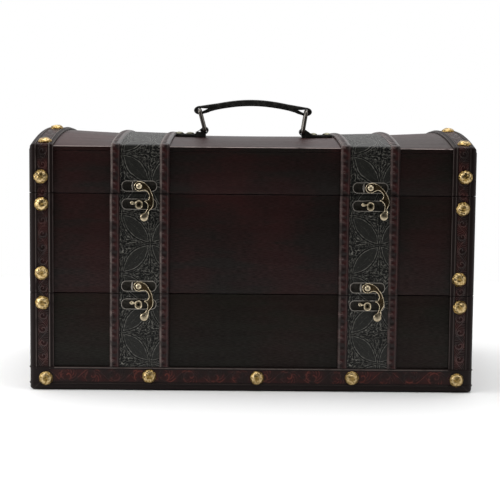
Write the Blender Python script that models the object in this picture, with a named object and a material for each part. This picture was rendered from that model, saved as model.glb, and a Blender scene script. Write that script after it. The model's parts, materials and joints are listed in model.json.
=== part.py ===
"""Wine gift box: a leather-bound chest of three levels, tray, tier and domed lid.

Metres, +Z up, front towards -Y, origin under the middle of the box on the floor.
Each level is a case of thin boards with leather straps, end bands and brass hardware.
"""

import math

import bmesh
import bpy
from mathutils import Matrix, Vector

# Case
case_half_width = 0.2
case_half_depth = 0.1275
tray_height = 0.0891
tier_height = 0.0905
lid_height = 0.0423
level_gap = 0.0006
board_thickness = 0.006
floor_thickness = 0.004
lid_panel_thickness = 0.004
crown_rise_ends = 0.0103
crown_rise_middle = 0.0035
seat_gap = 0.0003
cut_overrun = 0.002

# Leather straps over front, dome and back
strap_place_left = -0.1035
strap_place_right = 0.105
strip_half_width = 0.018
strip_thickness = 0.0016
border_width = 0.0102
border_thickness = 0.003

# Leather bands on the ends and round the base
band_width = 0.0195
band_thickness = 0.0016
band_corner_radius = 0.004
ridge_height = 0.0006
ridge_half_width = 0.001
ridge_near_corner = 0.0033
ridge_from_inner_edge = 0.0028
base_band_height = 0.0217
base_band_thickness = 0.0019
base_band_lift = 0.0004
post_seat_gap = 0.0004
post_root_height = 0.011

# Bottle cradles
bottle_radius = 0.0385
bottle_pitch = 0.08
neck_radius = 0.0155
cradle_clearance = 0.0008
cradle_rail_thickness = 0.009
shoulder_rail_height = 0.026
neck_rail_height = 0.04
shoulder_rail_place = -0.105
neck_rail_place = 0.125
bottle_axis_height = 0.04
runner_width = 0.008
runner_height = 0.007

# Swing-hook latches
plate_length = 0.032
plate_height = 0.0098
plate_corner_radius = 0.0042
plate_thickness = 0.001
pivot_above_seam = 0.007
latch_place_upper_left = -0.1026
latch_place_lower_left = -0.1029
latch_place_upper_right = 0.1062
latch_place_lower_right = 0.1049
catch_below_pivot = 0.0164
hook_clearance = 0.0005
hook_thickness = 0.0016
hook_bore_radius = 0.0016
hook_reach = 0.013
hook_drop = 0.0313
rivet_shank_radius = 0.0013
rivet_head_radius = 0.0027
rivet_head_thickness = 0.001
knob_neck_radius = 0.0012
knob_head_width = 0.0064
knob_head_height = 0.0076
knob_head_thickness = 0.0013
knob_head_gap = 0.0014
knob_corner_radius = 0.0022
hook_swing_upper_left = math.radians(0)
hook_swing_lower_left = math.radians(1)
hook_swing_upper_right = math.radians(17)
hook_swing_lower_right = math.radians(10)

# Back hinges
hinge_leaf_width = 0.03
hinge_leaf_height = 0.0135
hinge_leaf_thickness = 0.001
knuckle_radius = 0.0022
knuckle_length = 0.0098
knuckle_gap = 0.0003
pin_radius = 0.0011
pin_head_length = 0.0008
web_thickness = 0.001
web_offset = 0.0011

# Handle
ring_place_left = -0.0464
ring_place_right = 0.0492
loop_lift_left = 0.003
loop_lift_right = 0.0018
ring_height = 0.0204
ring_inner_width = 0.0182
wire_radius = 0.0012
loop_gap = 0.0003
ring_lean_left = math.radians(15)
ring_lean_right = math.radians(9)
tab_end_clearance = 0.0006
tab_width = 0.0165
tab_thickness = 0.0026
tab_loop_wall = 0.0019
grip_width = 0.0165
grip_thickness = 0.0055
grip_loop_wall = 0.0021
grip_rise = 0.0083
grip_slot_length = 0.0036

# Mesh making
weld_distance = 0.000005
smooth_angle = math.radians(32)

# Counts
dome_steps = 12
panel_steps = 20
border_steps = 6
corner_steps = 3
round_steps = 24
arc_steps = 8
grip_steps = 20

# Levels
tier_base = tray_height + level_gap
tier_top = tier_base + tier_height
lid_base = tier_top + level_gap
lid_edge = lid_base + lid_height
lower_seam = tray_height + level_gap / 2
upper_seam = tier_top + level_gap / 2

# Hardware stack, counted outwards from the case face
plate_back = seat_gap + strip_thickness + seat_gap
plate_front = plate_back + plate_thickness
hook_back = plate_front + hook_clearance
hook_front = hook_back + hook_thickness
knob_head_back = hook_front + knob_head_gap
hardware_reach = knob_head_back + knob_head_thickness
hinge_axis_offset = hardware_reach - knuckle_radius
hinge_axis_depth = case_half_depth + hinge_axis_offset

# Hook outline as shares of its reach and drop, from the pivot ring round the ball to the jaw
hook_outline_shares = (
    (0.0, 0.138), (0.28, 0.112), (0.52, 0.05), (0.71, -0.055), (0.875, -0.19), (0.975, -0.335),
    (1.0, -0.48), (0.935, -0.6), (0.775, -0.68), (0.665, -0.74), (0.63, -0.82), (0.6, -0.9),
    (0.5, -0.97), (0.34, -1.0), (0.185, -0.965), (0.125, -0.89), (0.185, -0.83), (0.34, -0.795),
    (0.475, -0.73), (0.545, -0.665), (0.59, -0.605), (0.58, -0.54), (0.5, -0.475), (0.375, -0.428),
    (0.555, -0.405), (0.685, -0.335), (0.67, -0.24), (0.575, -0.166), (0.415, -0.125), (0.2, -0.13),
    (0.0, -0.143), (-0.245, -0.1), (-0.343, 0.0), (-0.24, 0.1),
)

chest = bpy.data.collections.new("wine_gift_box")
parent_places = {}


sides = (("left", -1), ("right", 1))
strap_places = (("left", strap_place_left), ("right", strap_place_right))


def clear_scene():
    for old in list(bpy.data.objects):
        bpy.data.objects.remove(old, do_unlink=True)
    bpy.context.scene.collection.children.link(chest)


# Materials

def material(name, colour, roughness, metallic=0.0):
    made = bpy.data.materials.new(name)
    made.use_nodes = True
    shader = made.node_tree.nodes["Principled BSDF"]
    shader.inputs["Base Color"].default_value = (*colour, 1.0)
    shader.inputs["Roughness"].default_value = roughness
    shader.inputs["Metallic"].default_value = metallic
    return made


finishes = {
    "stained_wood": ((0.022, 0.009, 0.009), 0.4, 0.0),
    "lining": ((0.03, 0.012, 0.012), 0.9, 0.0),
    "black_leather": ((0.02, 0.021, 0.02), 0.5, 0.0),
    "red_leather": ((0.05, 0.017, 0.017), 0.5, 0.0),
    "antique_brass": ((0.28, 0.2, 0.1), 0.35, 1.0),
    "dark_bronze": ((0.1, 0.08, 0.06), 0.4, 1.0),
}


def finish_piece(piece, finish):
    colour, roughness, metallic = finishes[finish]
    piece.data.materials.clear()
    piece.data.materials.append(material(piece.name + "_" + finish, colour, roughness, metallic))


# Building blocks

def object_from_bmesh(name, shape):
    bmesh.ops.recalc_face_normals(shape, faces=shape.faces)
    mesh = bpy.data.meshes.new(name)
    shape.to_mesh(mesh)
    shape.free()
    made = bpy.data.objects.new(name, mesh)
    chest.objects.link(made)
    return made


def block(name, low, high):
    shape = bmesh.new()
    bmesh.ops.create_cube(shape, size=1)
    size = Vector(high) - Vector(low)
    bmesh.ops.scale(shape, vec=size, verts=shape.verts)
    bmesh.ops.translate(shape, vec=Vector(low) + size / 2, verts=shape.verts)
    return object_from_bmesh(name, shape)


def rod(name, radius, start, end, steps=round_steps):
    start = Vector(start)
    end = Vector(end)
    run = end - start
    shape = bmesh.new()
    bmesh.ops.create_cone(shape, cap_ends=True, segments=steps, radius1=radius, radius2=radius,
                          depth=run.length)
    turn = run.to_track_quat("Z", "Y").to_matrix()
    bmesh.ops.rotate(shape, cent=Vector(), matrix=turn, verts=shape.verts)
    bmesh.ops.translate(shape, vec=start + run / 2, verts=shape.verts)
    return object_from_bmesh(name, shape)


def swept(name, rings, closed=False):
    """A solid whose outline is carried from ring to ring, with end caps unless it closes."""
    shape = bmesh.new()
    loops = [[shape.verts.new(point) for point in ring] for ring in rings]
    count = len(loops[0])
    pairs = list(zip(loops, loops[1:]))
    if closed:
        pairs.append((loops[-1], loops[0]))
    for near, far in pairs:
        for i in range(count):
            j = (i + 1) % count
            shape.faces.new((near[i], near[j], far[j], far[i]))
    if not closed:
        shape.faces.new(list(reversed(loops[0])))
        shape.faces.new(loops[-1])
    return object_from_bmesh(name, shape)


def flat_piece(name, outlines, front, back):
    """A flat outline in X and Z, with any holes, given thickness between two depths."""
    curve = bpy.data.curves.new(name + "_outline", "CURVE")
    curve.dimensions = "2D"
    curve.fill_mode = "BOTH"
    curve.extrude = abs(back - front) / 2
    curve.resolution_u = 2
    for outline, rounded in outlines:
        spline = curve.splines.new("BEZIER" if rounded else "POLY")
        points = spline.bezier_points if rounded else spline.points
        points.add(len(outline) - 1)
        for point, (x, z) in zip(points, outline):
            point.co = (x, z, 0) if rounded else (x, z, 0, 1)
            if rounded:
                point.handle_left_type = "AUTO"
                point.handle_right_type = "AUTO"
        spline.use_cyclic_u = True
    drawn = bpy.data.objects.new(name + "_outline", curve)
    chest.objects.link(drawn)
    drawn.rotation_euler = (math.radians(90), 0, 0)
    drawn.location = (0, (front + back) / 2, 0)
    bpy.context.view_layer.update()
    evaluated = drawn.evaluated_get(bpy.context.evaluated_depsgraph_get())
    mesh = bpy.data.meshes.new_from_object(evaluated)
    mesh.transform(drawn.matrix_world)
    bpy.data.objects.remove(drawn, do_unlink=True)
    bpy.data.curves.remove(curve)
    shape = bmesh.new()
    shape.from_mesh(mesh)
    bpy.data.meshes.remove(mesh)
    bmesh.ops.remove_doubles(shape, verts=shape.verts, dist=weld_distance)
    return object_from_bmesh(name, shape)


def combine(target, tool, operation):
    """Joins or cuts the target with the tool, and applies the result to its mesh."""
    modifier = target.modifiers.new(operation.lower(), "BOOLEAN")
    modifier.operation = operation
    modifier.solver = "EXACT"
    modifier.object = tool
    bpy.context.view_layer.update()
    evaluated = target.evaluated_get(bpy.context.evaluated_depsgraph_get())
    mesh = bpy.data.meshes.new_from_object(evaluated)
    old = target.data
    target.modifiers.clear()
    target.data = mesh
    mesh.name = target.name
    bpy.data.meshes.remove(old)
    tool_mesh = tool.data
    bpy.data.objects.remove(tool, do_unlink=True)
    bpy.data.meshes.remove(tool_mesh)
    return target


def join(target, *tools):
    for tool in tools:
        combine(target, tool, "UNION")
    return target


def cut(target, *tools):
    for tool in tools:
        combine(target, tool, "DIFFERENCE")
    return target


def settle(piece, origin, parent, finish):
    """Gives a piece its origin, its parent and its finish, without moving it."""
    origin = Vector(origin)
    piece.data.transform(Matrix.Translation(-origin))
    piece.parent = parent
    piece.location = origin - parent_places[parent.name]
    piece.data.shade_smooth()
    piece.data.set_sharp_from_angle(angle=smooth_angle)
    finish_piece(piece, finish)
    return piece


def pivot_empty(name, place, parent=None):
    empty = bpy.data.objects.new(name, None)
    empty.empty_display_size = ring_height
    chest.objects.link(empty)
    place = Vector(place)
    if parent:
        empty.parent = parent
        empty.location = place - parent_places[parent.name]
    else:
        empty.location = place
    parent_places[name] = place
    return empty


# Lid surface

def crown_rise(x):
    share = min(1.0, abs(x) / (case_half_width - board_thickness))
    return crown_rise_middle + (crown_rise_ends - crown_rise_middle) * share ** 2


def crown_share(y):
    return 1 - (y / case_half_depth) ** 2


def lid_surface(x, y):
    return lid_edge + crown_rise(x) * crown_share(y)


def lid_path(x, offset):
    """Points from the foot of the lid's front over the dome to the foot of its back."""
    reach = case_half_depth + offset
    points = [(-reach, lid_base), (-reach, lid_edge + offset)]
    for step in range(1, dome_steps):
        along = -1 + 2 * step / dome_steps
        points.append((along * reach, lid_surface(x, along * case_half_depth) + offset))
    points.append((reach, lid_edge + offset))
    points.append((reach, lid_base))
    return points


# Outlines

def strap_profile():
    """Across a strap: a rolled border, the flat strip and the other border, as (x, height)."""
    half = strip_half_width + border_width
    left = [(-half, 0)]
    for step in range(border_steps + 1):
        turn = math.pi * step / border_steps
        x = -half + border_width * (1 - math.cos(turn)) / 2
        rolled = border_thickness * (1 + math.sin(turn)) / 2
        if step > border_steps / 2:
            rolled = max(rolled, strip_thickness)
        left.append((x, rolled))
    right = [(-x, height) for x, height in reversed(left)]
    return left + right


def leg_profile(thickness, width):
    """Over one leg of a band: ridges near the corner and near the inner edge."""
    points = []
    for centre in (ridge_near_corner, width - ridge_from_inner_edge):
        points.append((centre - ridge_half_width, thickness))
        points.append((centre, thickness + ridge_height))
        points.append((centre + ridge_half_width, thickness))
    points.append((width, thickness))
    return points


def corner_profile(inset):
    """An angle of leather round a case corner, as (x, offset from the case outline)."""
    outer = leg_profile(band_thickness, band_width)
    points = [(case_half_width - along, seat_gap + height) for along, height in reversed(outer)]
    centre = seat_gap + band_thickness - band_corner_radius
    for step in range(corner_steps + 1):
        turn = math.pi / 2 * (1 - step / corner_steps)
        points.append((case_half_width + centre + band_corner_radius * math.cos(turn),
                       centre + band_corner_radius * math.sin(turn)))
    points += [(case_half_width + seat_gap + height, -along) for along, height in outer]
    points.append((case_half_width + inset, -band_width))
    points.append((case_half_width + inset, inset))
    points.append((case_half_width - band_width, inset))
    return points


def rounded_outline(width, height, radius, centre_x=0.0, centre_z=0.0):
    points = []
    for quarter, (side_x, side_z) in enumerate(((1, 1), (-1, 1), (-1, -1), (1, -1))):
        for step in range(corner_steps + 1):
            turn = math.pi / 2 * (quarter + step / corner_steps)
            points.append((centre_x + side_x * (width / 2 - radius) + radius * math.cos(turn),
                           centre_z + side_z * (height / 2 - radius) + radius * math.sin(turn)))
    return points


def circle_outline(radius, centre_x, centre_z, steps=round_steps):
    return [(centre_x + radius * math.cos(2 * math.pi * i / steps),
             centre_z + radius * math.sin(2 * math.pi * i / steps)) for i in range(steps)]


def slot_outline(radius, near, far):
    """A slot with round ends between two (x, z) centres."""
    run = Vector(far) - Vector(near)
    heading = math.atan2(run.y, run.x)
    points = []
    for centre, start in ((far, heading - math.pi / 2), (near, heading + math.pi / 2)):
        for step in range(arc_steps + 1):
            turn = start + math.pi * step / arc_steps
            points.append((centre[0] + radius * math.cos(turn), centre[1] + radius * math.sin(turn)))
    return points


# Levels

def build_level_boards(level, parent, base, top):
    inner_half_width = case_half_width - board_thickness
    inner_half_depth = case_half_depth - board_thickness
    made = {
        "front_board": block(level + "_front_board", (-case_half_width, -case_half_depth, base),
                             (case_half_width, -inner_half_depth, top)),
        "back_board": block(level + "_back_board", (-case_half_width, inner_half_depth, base),
                            (case_half_width, case_half_depth, top)),
    }
    if level != "lid":
        side_depth = inner_half_depth - seat_gap
        made["left_board"] = block(level + "_left_board", (-case_half_width, -side_depth, base),
                                   (-inner_half_width, side_depth, top))
        made["right_board"] = block(level + "_right_board", (inner_half_width, -side_depth, base),
                                    (case_half_width, side_depth, top))
        floor_half_width = inner_half_width - seat_gap
        made["floor"] = block(level + "_floor", (-floor_half_width, -side_depth, base),
                              (floor_half_width, side_depth, base + floor_thickness))
    for piece in made.values():
        low, high = piece_corners(piece)
        settle(piece, (low + high) / 2, parent, "stained_wood")
    return made


def piece_corners(piece):
    points = [vertex.co for vertex in piece.data.vertices]
    low = Vector([min(point[i] for point in points) for i in range(3)])
    high = Vector([max(point[i] for point in points) for i in range(3)])
    return low, high


def build_cradle(level, parent, base):
    """Two rails with a hollow for each bottle's shoulder and neck, on a pair of runners."""
    floor_top = base + floor_thickness + seat_gap
    half_depth = case_half_depth - board_thickness - cradle_clearance
    axis_height = floor_top + bottle_axis_height
    rails = (
        (shoulder_rail_place, shoulder_rail_height, bottle_radius),
        (neck_rail_place, neck_rail_height, neck_radius),
    )
    half_thickness = cradle_rail_thickness / 2
    name = level + "_bottle_cradle"
    cradle = block(name, (shoulder_rail_place, -half_depth, floor_top),
                   (neck_rail_place, -half_depth + runner_width, floor_top + runner_height))
    far_runner = block(name + "_runner", (shoulder_rail_place, half_depth - runner_width, floor_top),
                       (neck_rail_place, half_depth, floor_top + runner_height))
    made = []
    for place, height, hollow in rails:
        rail = block(name + "_rail", (place - half_thickness, -half_depth, floor_top),
                     (place + half_thickness, half_depth, floor_top + height))
        for row in (-1, 0, 1):
            cut(rail, rod(name + "_hollow", hollow,
                          (place - half_thickness - cut_overrun, row * bottle_pitch, axis_height),
                          (place + half_thickness + cut_overrun, row * bottle_pitch, axis_height)))
        made.append(rail)
    join(made[0], cradle, far_runner, made[1])
    made[0].name = name
    low, high = piece_corners(made[0])
    settle(made[0], (0, 0, low.z), parent, "lining")


def level_strap(name, side, centre, base, top, parent):
    """A straight strap on the front (side -1) or the back (side 1) of a level."""
    face = side * (case_half_depth + seat_gap)
    rings = [[(centre + x, face + side * height, z) for x, height in strap_profile()]
             for z in (base, top)]
    settle(swept(name, rings), (centre, face, base), parent, "black_leather")


def corner_band(name, side_x, side_y, base, top, parent):
    profile = corner_profile(seat_gap)
    rings = [[(side_x * x, side_y * (case_half_depth + offset), z) for x, offset in profile]
             for z in (base, top)]
    place = (side_x * case_half_width, side_y * case_half_depth, base)
    settle(swept(name, rings), place, parent, "red_leather")


def build_tray(parent):
    build_level_boards("tray", parent, 0, tray_height)
    build_cradle("tray", parent, 0)
    strap_base = base_band_height + seat_gap
    for word, centre in strap_places:
        level_strap("tray_" + word + "_strap", -1, centre, strap_base, tray_height, parent)
        level_strap("tray_back_" + word + "_strap", 1, centre, strap_base, tray_height, parent)
    build_edge_binding(parent)


def build_edge_binding(parent):
    """The leather round the foot of the tray and up its four corners, glued as one piece."""
    band_height = base_band_height - base_band_lift
    profile = [(seat_gap, base_band_lift)]
    for along, height in reversed(leg_profile(base_band_thickness, band_height)):
        profile.append((seat_gap + height, base_band_height - along))
    profile.append((seat_gap + base_band_thickness, base_band_height))
    profile.append((seat_gap, base_band_height))
    rings = []
    for side_x, side_y in ((-1, -1), (1, -1), (1, 1), (-1, 1)):
        rings.append([(side_x * (case_half_width + out), side_y * (case_half_depth + out), z)
                      for out, z in profile])
    binding = swept("tray_edge_binding", rings, closed=True)
    post_profile = corner_profile(post_seat_gap)
    for side_x in (-1, 1):
        for side_y in (-1, 1):
            post_rings = [[(side_x * x, side_y * (case_half_depth + offset), z)
                           for x, offset in post_profile] for z in (post_root_height, tray_height)]
            join(binding, swept("tray_corner_post", post_rings))
    settle(binding, (0, 0, 0), parent, "red_leather")


def build_tier(parent):
    build_level_boards("tier", parent, tier_base, tier_top)
    build_cradle("tier", parent, tier_base)
    for word, centre in strap_places:
        level_strap("tier_" + word + "_strap", -1, centre, tier_base, tier_top, parent)
        level_strap("tier_back_" + word + "_strap", 1, centre, tier_base, tier_top, parent)
    for word, side_x in sides:
        corner_band("tier_front_" + word + "_band", side_x, -1, tier_base, tier_top, parent)
        corner_band("tier_back_" + word + "_band", side_x, 1, tier_base, tier_top, parent)


def build_lid(parent):
    board_top = lid_edge - lid_panel_thickness - seat_gap
    build_level_boards("lid", parent, lid_base, board_top)
    build_lid_panel(parent)
    for word, centre in strap_places:
        build_lid_strap("lid_" + word + "_strap", centre, parent)
    for word, side_x in sides:
        build_gable("lid_" + word + "_gable", side_x, parent)
        build_lid_band("lid_" + word + "_end_band", side_x, parent)


def build_lid_panel(parent):
    """The domed panel: fully crowned over the gables, flatter in the middle of its span."""
    shape = bmesh.new()
    bmesh.ops.create_grid(shape, x_segments=panel_steps, y_segments=dome_steps, size=1)
    for vertex in shape.verts:
        x = vertex.co.x * case_half_width
        y = vertex.co.y * case_half_depth
        vertex.co = (x, y, lid_surface(x, y))
    lower = bmesh.ops.duplicate(shape, geom=shape.verts[:] + shape.edges[:] + shape.faces[:])
    lower_verts = [item for item in lower["geom"] if isinstance(item, bmesh.types.BMVert)]
    bmesh.ops.translate(shape, vec=(0, 0, -lid_panel_thickness), verts=lower_verts)
    rims = [edge for edge in shape.edges if edge.is_boundary]
    bmesh.ops.bridge_loops(shape, edges=rims)
    panel = object_from_bmesh("lid_top_panel", shape)
    settle(panel, (0, 0, lid_edge), parent, "stained_wood")


def build_gable(name, side_x, parent):
    outer = side_x * case_half_width
    inner = side_x * (case_half_width - board_thickness)
    half_depth = case_half_depth - board_thickness - seat_gap
    drop = lid_panel_thickness + seat_gap
    outline = [(-half_depth, lid_base)]
    for step in range(dome_steps + 1):
        y = half_depth * (-1 + 2 * step / dome_steps)
        outline.append((y, lid_surface(case_half_width, y) - drop))
    outline.append((half_depth, lid_base))
    rings = [[(x, y, z) for y, z in outline] for x in (inner, outer)]
    settle(swept(name, rings), (outer, 0, lid_base), parent, "stained_wood")


def build_lid_strap(name, centre, parent):
    paths = []
    for x, height in strap_profile():
        paths.append([(centre + x, y, z) for y, z in lid_path(centre + x, seat_gap + height)])
    rings = [list(ring) for ring in zip(*paths)]
    settle(swept(name, rings), (centre, 0, lid_edge), parent, "black_leather")


def build_lid_band(name, side_x, parent):
    paths = []
    for x, offset in corner_profile(seat_gap):
        paths.append([(side_x * x, y, z) for y, z in lid_path(case_half_width, offset)])
    rings = [list(ring) for ring in zip(*paths)]
    settle(swept(name, rings), (side_x * case_half_width, 0, lid_edge), parent, "red_leather")


# Latches

def face_depth(offset):
    """Depth of a layer of the front hardware, counted outwards from the case face."""
    return -case_half_depth - offset


def front_rod(name, radius, x, z, back, front):
    return rod(name, radius, (x, face_depth(back), z), (x, face_depth(front), z))


def build_hook_plate(name, x, z, parent):
    outline = rounded_outline(plate_length, plate_height, plate_corner_radius, x, z)
    plate = flat_piece(name, ((outline, False),), face_depth(plate_front), face_depth(plate_back))
    middle = plate_back + plate_thickness / 2
    shank = front_rod(name + "_shank", rivet_shank_radius, x, z, middle, hook_front + hook_clearance)
    head = front_rod(name + "_head", rivet_head_radius, x, z, hook_front + seat_gap,
                     hook_front + seat_gap + rivet_head_thickness)
    join(plate, shank, head)
    settle(plate, (x, face_depth(plate_back), z), parent, "dark_bronze")


def build_catch(name, x, z, parent):
    outline = rounded_outline(plate_length, plate_height, plate_corner_radius, x, z)
    plate = flat_piece(name, ((outline, False),), face_depth(plate_front), face_depth(plate_back))
    middle = plate_back + plate_thickness / 2
    neck = front_rod(name + "_neck", knob_neck_radius, x, z, middle,
                     knob_head_back + knob_head_thickness / 2)
    head_outline = rounded_outline(knob_head_width, knob_head_height, knob_corner_radius, x, z)
    head = flat_piece(name + "_head", ((head_outline, False),), face_depth(hardware_reach),
                      face_depth(knob_head_back))
    join(plate, neck, head)
    settle(plate, (x, face_depth(plate_back), z), parent, "dark_bronze")


def build_hook(name, x, z, swing, parent):
    outline = [(across * hook_reach, down * hook_drop) for across, down in hook_outline_shares]
    bore = circle_outline(hook_bore_radius, 0, 0, round_steps)
    hook = flat_piece(name, ((outline, True), (bore, False)), face_depth(hook_front),
                      face_depth(hook_back))
    hook.data.transform(Matrix.Translation((x, 0, z)))
    place = Vector((x, face_depth(hook_back), z))
    settle(hook, place, parent, "antique_brass")
    hook.rotation_euler = (0, -swing, 0)


# Hinges

def build_hinge(name, x, seam, lower_parent, upper_parent, lower_word, upper_word):
    """A butt hinge on a back strap: the lower leaf holds the pin, the upper one turns on it."""
    middle_half = knuckle_length / 2
    inner_end = middle_half + knuckle_gap
    outer_end = inner_end + knuckle_length
    axis = hinge_axis_depth
    leaf_back = case_half_depth + plate_back
    leaf_front = leaf_back + hinge_leaf_thickness
    bore = pin_radius + knuckle_gap
    leaf_start = knuckle_radius + knuckle_gap
    leaf_end = leaf_start + hinge_leaf_height
    half_width = hinge_leaf_width / 2
    web_reach = web_offset + web_thickness

    lower = block(name + "_" + lower_word, (x - half_width, leaf_back, seam - leaf_end),
                  (x + half_width, leaf_front, seam - web_offset))
    web = block(name + "_web", (x - middle_half, leaf_back + hinge_leaf_thickness / 2, seam - web_reach),
                (x + middle_half, axis, seam - web_offset))
    side_cut_left = block(name + "_cut", (x - half_width - cut_overrun, leaf_back - cut_overrun,
                                          seam - leaf_start),
                          (x - middle_half, leaf_front + cut_overrun, seam))
    side_cut_right = block(name + "_cut", (x + middle_half, leaf_back - cut_overrun, seam - leaf_start),
                           (x + half_width + cut_overrun, leaf_front + cut_overrun, seam))
    knuckle = rod(name + "_knuckle", knuckle_radius, (x - middle_half, axis, seam),
                  (x + middle_half, axis, seam))
    pin_end = outer_end + pin_head_length
    pin = rod(name + "_pin", pin_radius, (x - pin_end, axis, seam), (x + pin_end, axis, seam))
    cut(lower, side_cut_left, side_cut_right)
    join(lower, web, knuckle, pin)
    settle(lower, (x, axis, seam), lower_parent, "dark_bronze")

    upper = block(name + "_" + upper_word, (x - half_width, leaf_back, seam + web_offset),
                  (x + half_width, leaf_front, seam + leaf_end))
    cut(upper, block(name + "_cut", (x - inner_end, leaf_back - cut_overrun, seam),
                     (x + inner_end, leaf_front + cut_overrun, seam + leaf_start)))
    for side in (-1, 1):
        near = x + side * inner_end
        far = x + side * outer_end
        join(upper,
             block(name + "_web", (min(near, far), leaf_back + hinge_leaf_thickness / 2, seam + web_offset),
                   (max(near, far), axis, seam + web_reach)),
             rod(name + "_knuckle", knuckle_radius, (near, axis, seam), (far, axis, seam)))
    cut(upper, rod(name + "_bore", bore, (x - pin_end - cut_overrun, axis, seam),
                   (x + pin_end + cut_overrun, axis, seam)))
    settle(upper, (x, axis, seam), upper_parent, "dark_bronze")


# Handle

tab_loop_radius = wire_radius + loop_gap + tab_loop_wall
grip_loop_radius = wire_radius + loop_gap + grip_loop_wall


def ring_pivot(side_x):
    x = ring_place_left if side_x < 0 else ring_place_right
    lift = loop_lift_left if side_x < 0 else loop_lift_right
    return Vector((x, 0, lid_surface(x, 0) + seat_gap + lift + tab_loop_radius))


def ring_top(side_x):
    lean = ring_lean_left if side_x < 0 else ring_lean_right
    reach = Vector((side_x * math.sin(lean), 0, math.cos(lean)))
    return ring_pivot(side_x) + ring_height * reach


def build_tab(name, side_x, parent):
    """A leather tab on the crest, folded round the foot of its ring."""
    pivot = ring_pivot(side_x)
    strap_x = strap_place_left if side_x < 0 else strap_place_right
    start_x = strap_x - side_x * (strip_half_width + border_width + tab_end_clearance)
    neck_x = pivot.x + side_x * (tab_loop_radius + tab_thickness)
    outline = []
    for step in range(corner_steps + 1):
        x = start_x + (neck_x - start_x) * step / corner_steps
        outline.append((x, lid_surface(x, 0) + seat_gap))
    start = -math.pi / 2
    for step in range(round_steps // 2):
        turn = start + 2 * math.pi * step / round_steps
        outline.append((pivot.x - side_x * tab_loop_radius * math.cos(turn),
                        pivot.z + tab_loop_radius * math.sin(turn)))
    outline.append((pivot.x, pivot.z + tab_loop_radius))
    outline.append((neck_x, lid_surface(neck_x, 0) + seat_gap + tab_thickness))
    outline.append((start_x, lid_surface(start_x, 0) + seat_gap + tab_thickness))
    bore = circle_outline(wire_radius + loop_gap, pivot.x, pivot.z)
    tab = flat_piece(name, ((outline, False), (bore, False)), -tab_width / 2, tab_width / 2)
    settle(tab, (pivot.x, 0, pivot.z), parent, "black_leather")


def build_ring(name, side_x, parent):
    """A rounded rectangle of wire, upright on its lower bar."""
    half_width = ring_inner_width / 2 + wire_radius
    corner = wire_radius * 2
    curve = bpy.data.curves.new(name + "_wire", "CURVE")
    curve.dimensions = "3D"
    curve.bevel_depth = wire_radius
    curve.bevel_resolution = 2
    spline = curve.splines.new("POLY")
    outline = rounded_outline(2 * half_width, ring_height, corner, 0, ring_height / 2)
    spline.points.add(len(outline) - 1)
    for point, (y, z) in zip(spline.points, outline):
        point.co = (0, y, z, 1)
    spline.use_cyclic_u = True
    drawn = bpy.data.objects.new(name + "_wire", curve)
    chest.objects.link(drawn)
    bpy.context.view_layer.update()
    evaluated = drawn.evaluated_get(bpy.context.evaluated_depsgraph_get())
    mesh = bpy.data.meshes.new_from_object(evaluated)
    bpy.data.objects.remove(drawn, do_unlink=True)
    bpy.data.curves.remove(curve)
    shape = bmesh.new()
    shape.from_mesh(mesh)
    bpy.data.meshes.remove(mesh)
    bmesh.ops.remove_doubles(shape, verts=shape.verts, dist=weld_distance)
    ring = object_from_bmesh(name, shape)
    pivot = ring_pivot(side_x)
    ring.data.transform(Matrix.Translation(pivot))
    settle(ring, pivot, parent, "dark_bronze")
    lean = ring_lean_left if side_x < 0 else ring_lean_right
    ring.rotation_euler = (0, side_x * lean, 0)


def build_grip(parent):
    """The arched leather grip, looped round the top bar of each ring."""
    left = ring_top(-1)
    right = ring_top(1)
    span = right.x - left.x
    upper = []
    lower = []
    for step in range(1, grip_steps):
        share = step / grip_steps
        x = left.x + span * share
        base = left.z + (right.z - left.z) * share
        arch = math.sin(math.pi * share)
        middle = base + grip_rise * arch
        half = grip_loop_radius + (grip_thickness / 2 - grip_loop_radius) * min(1.0, arch * 2)
        upper.append((x, middle + half))
        lower.append((x, middle - half))
    outline = []
    for step in range(arc_steps + 1):
        turn = 3 * math.pi / 2 - math.pi * step / arc_steps
        outline.append((left.x + grip_loop_radius * math.cos(turn),
                        left.z + grip_loop_radius * math.sin(turn)))
    outline += upper
    for step in range(arc_steps + 1):
        turn = math.pi / 2 - math.pi * step / arc_steps
        outline.append((right.x + grip_loop_radius * math.cos(turn),
                        right.z + grip_loop_radius * math.sin(turn)))
    outline += list(reversed(lower))
    bore = wire_radius + loop_gap
    climb = grip_rise * math.pi / span * grip_slot_length
    left_slot = slot_outline(bore, (left.x, left.z), (left.x + grip_slot_length, left.z + climb))
    right_slot = slot_outline(bore, (right.x, right.z), (right.x - grip_slot_length, right.z + climb))
    grip = flat_piece("handle_grip", ((outline, False), (left_slot, False), (right_slot, False)),
                      -grip_width / 2, grip_width / 2)
    settle(grip, left, parent, "black_leather")


# Assembly

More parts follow.
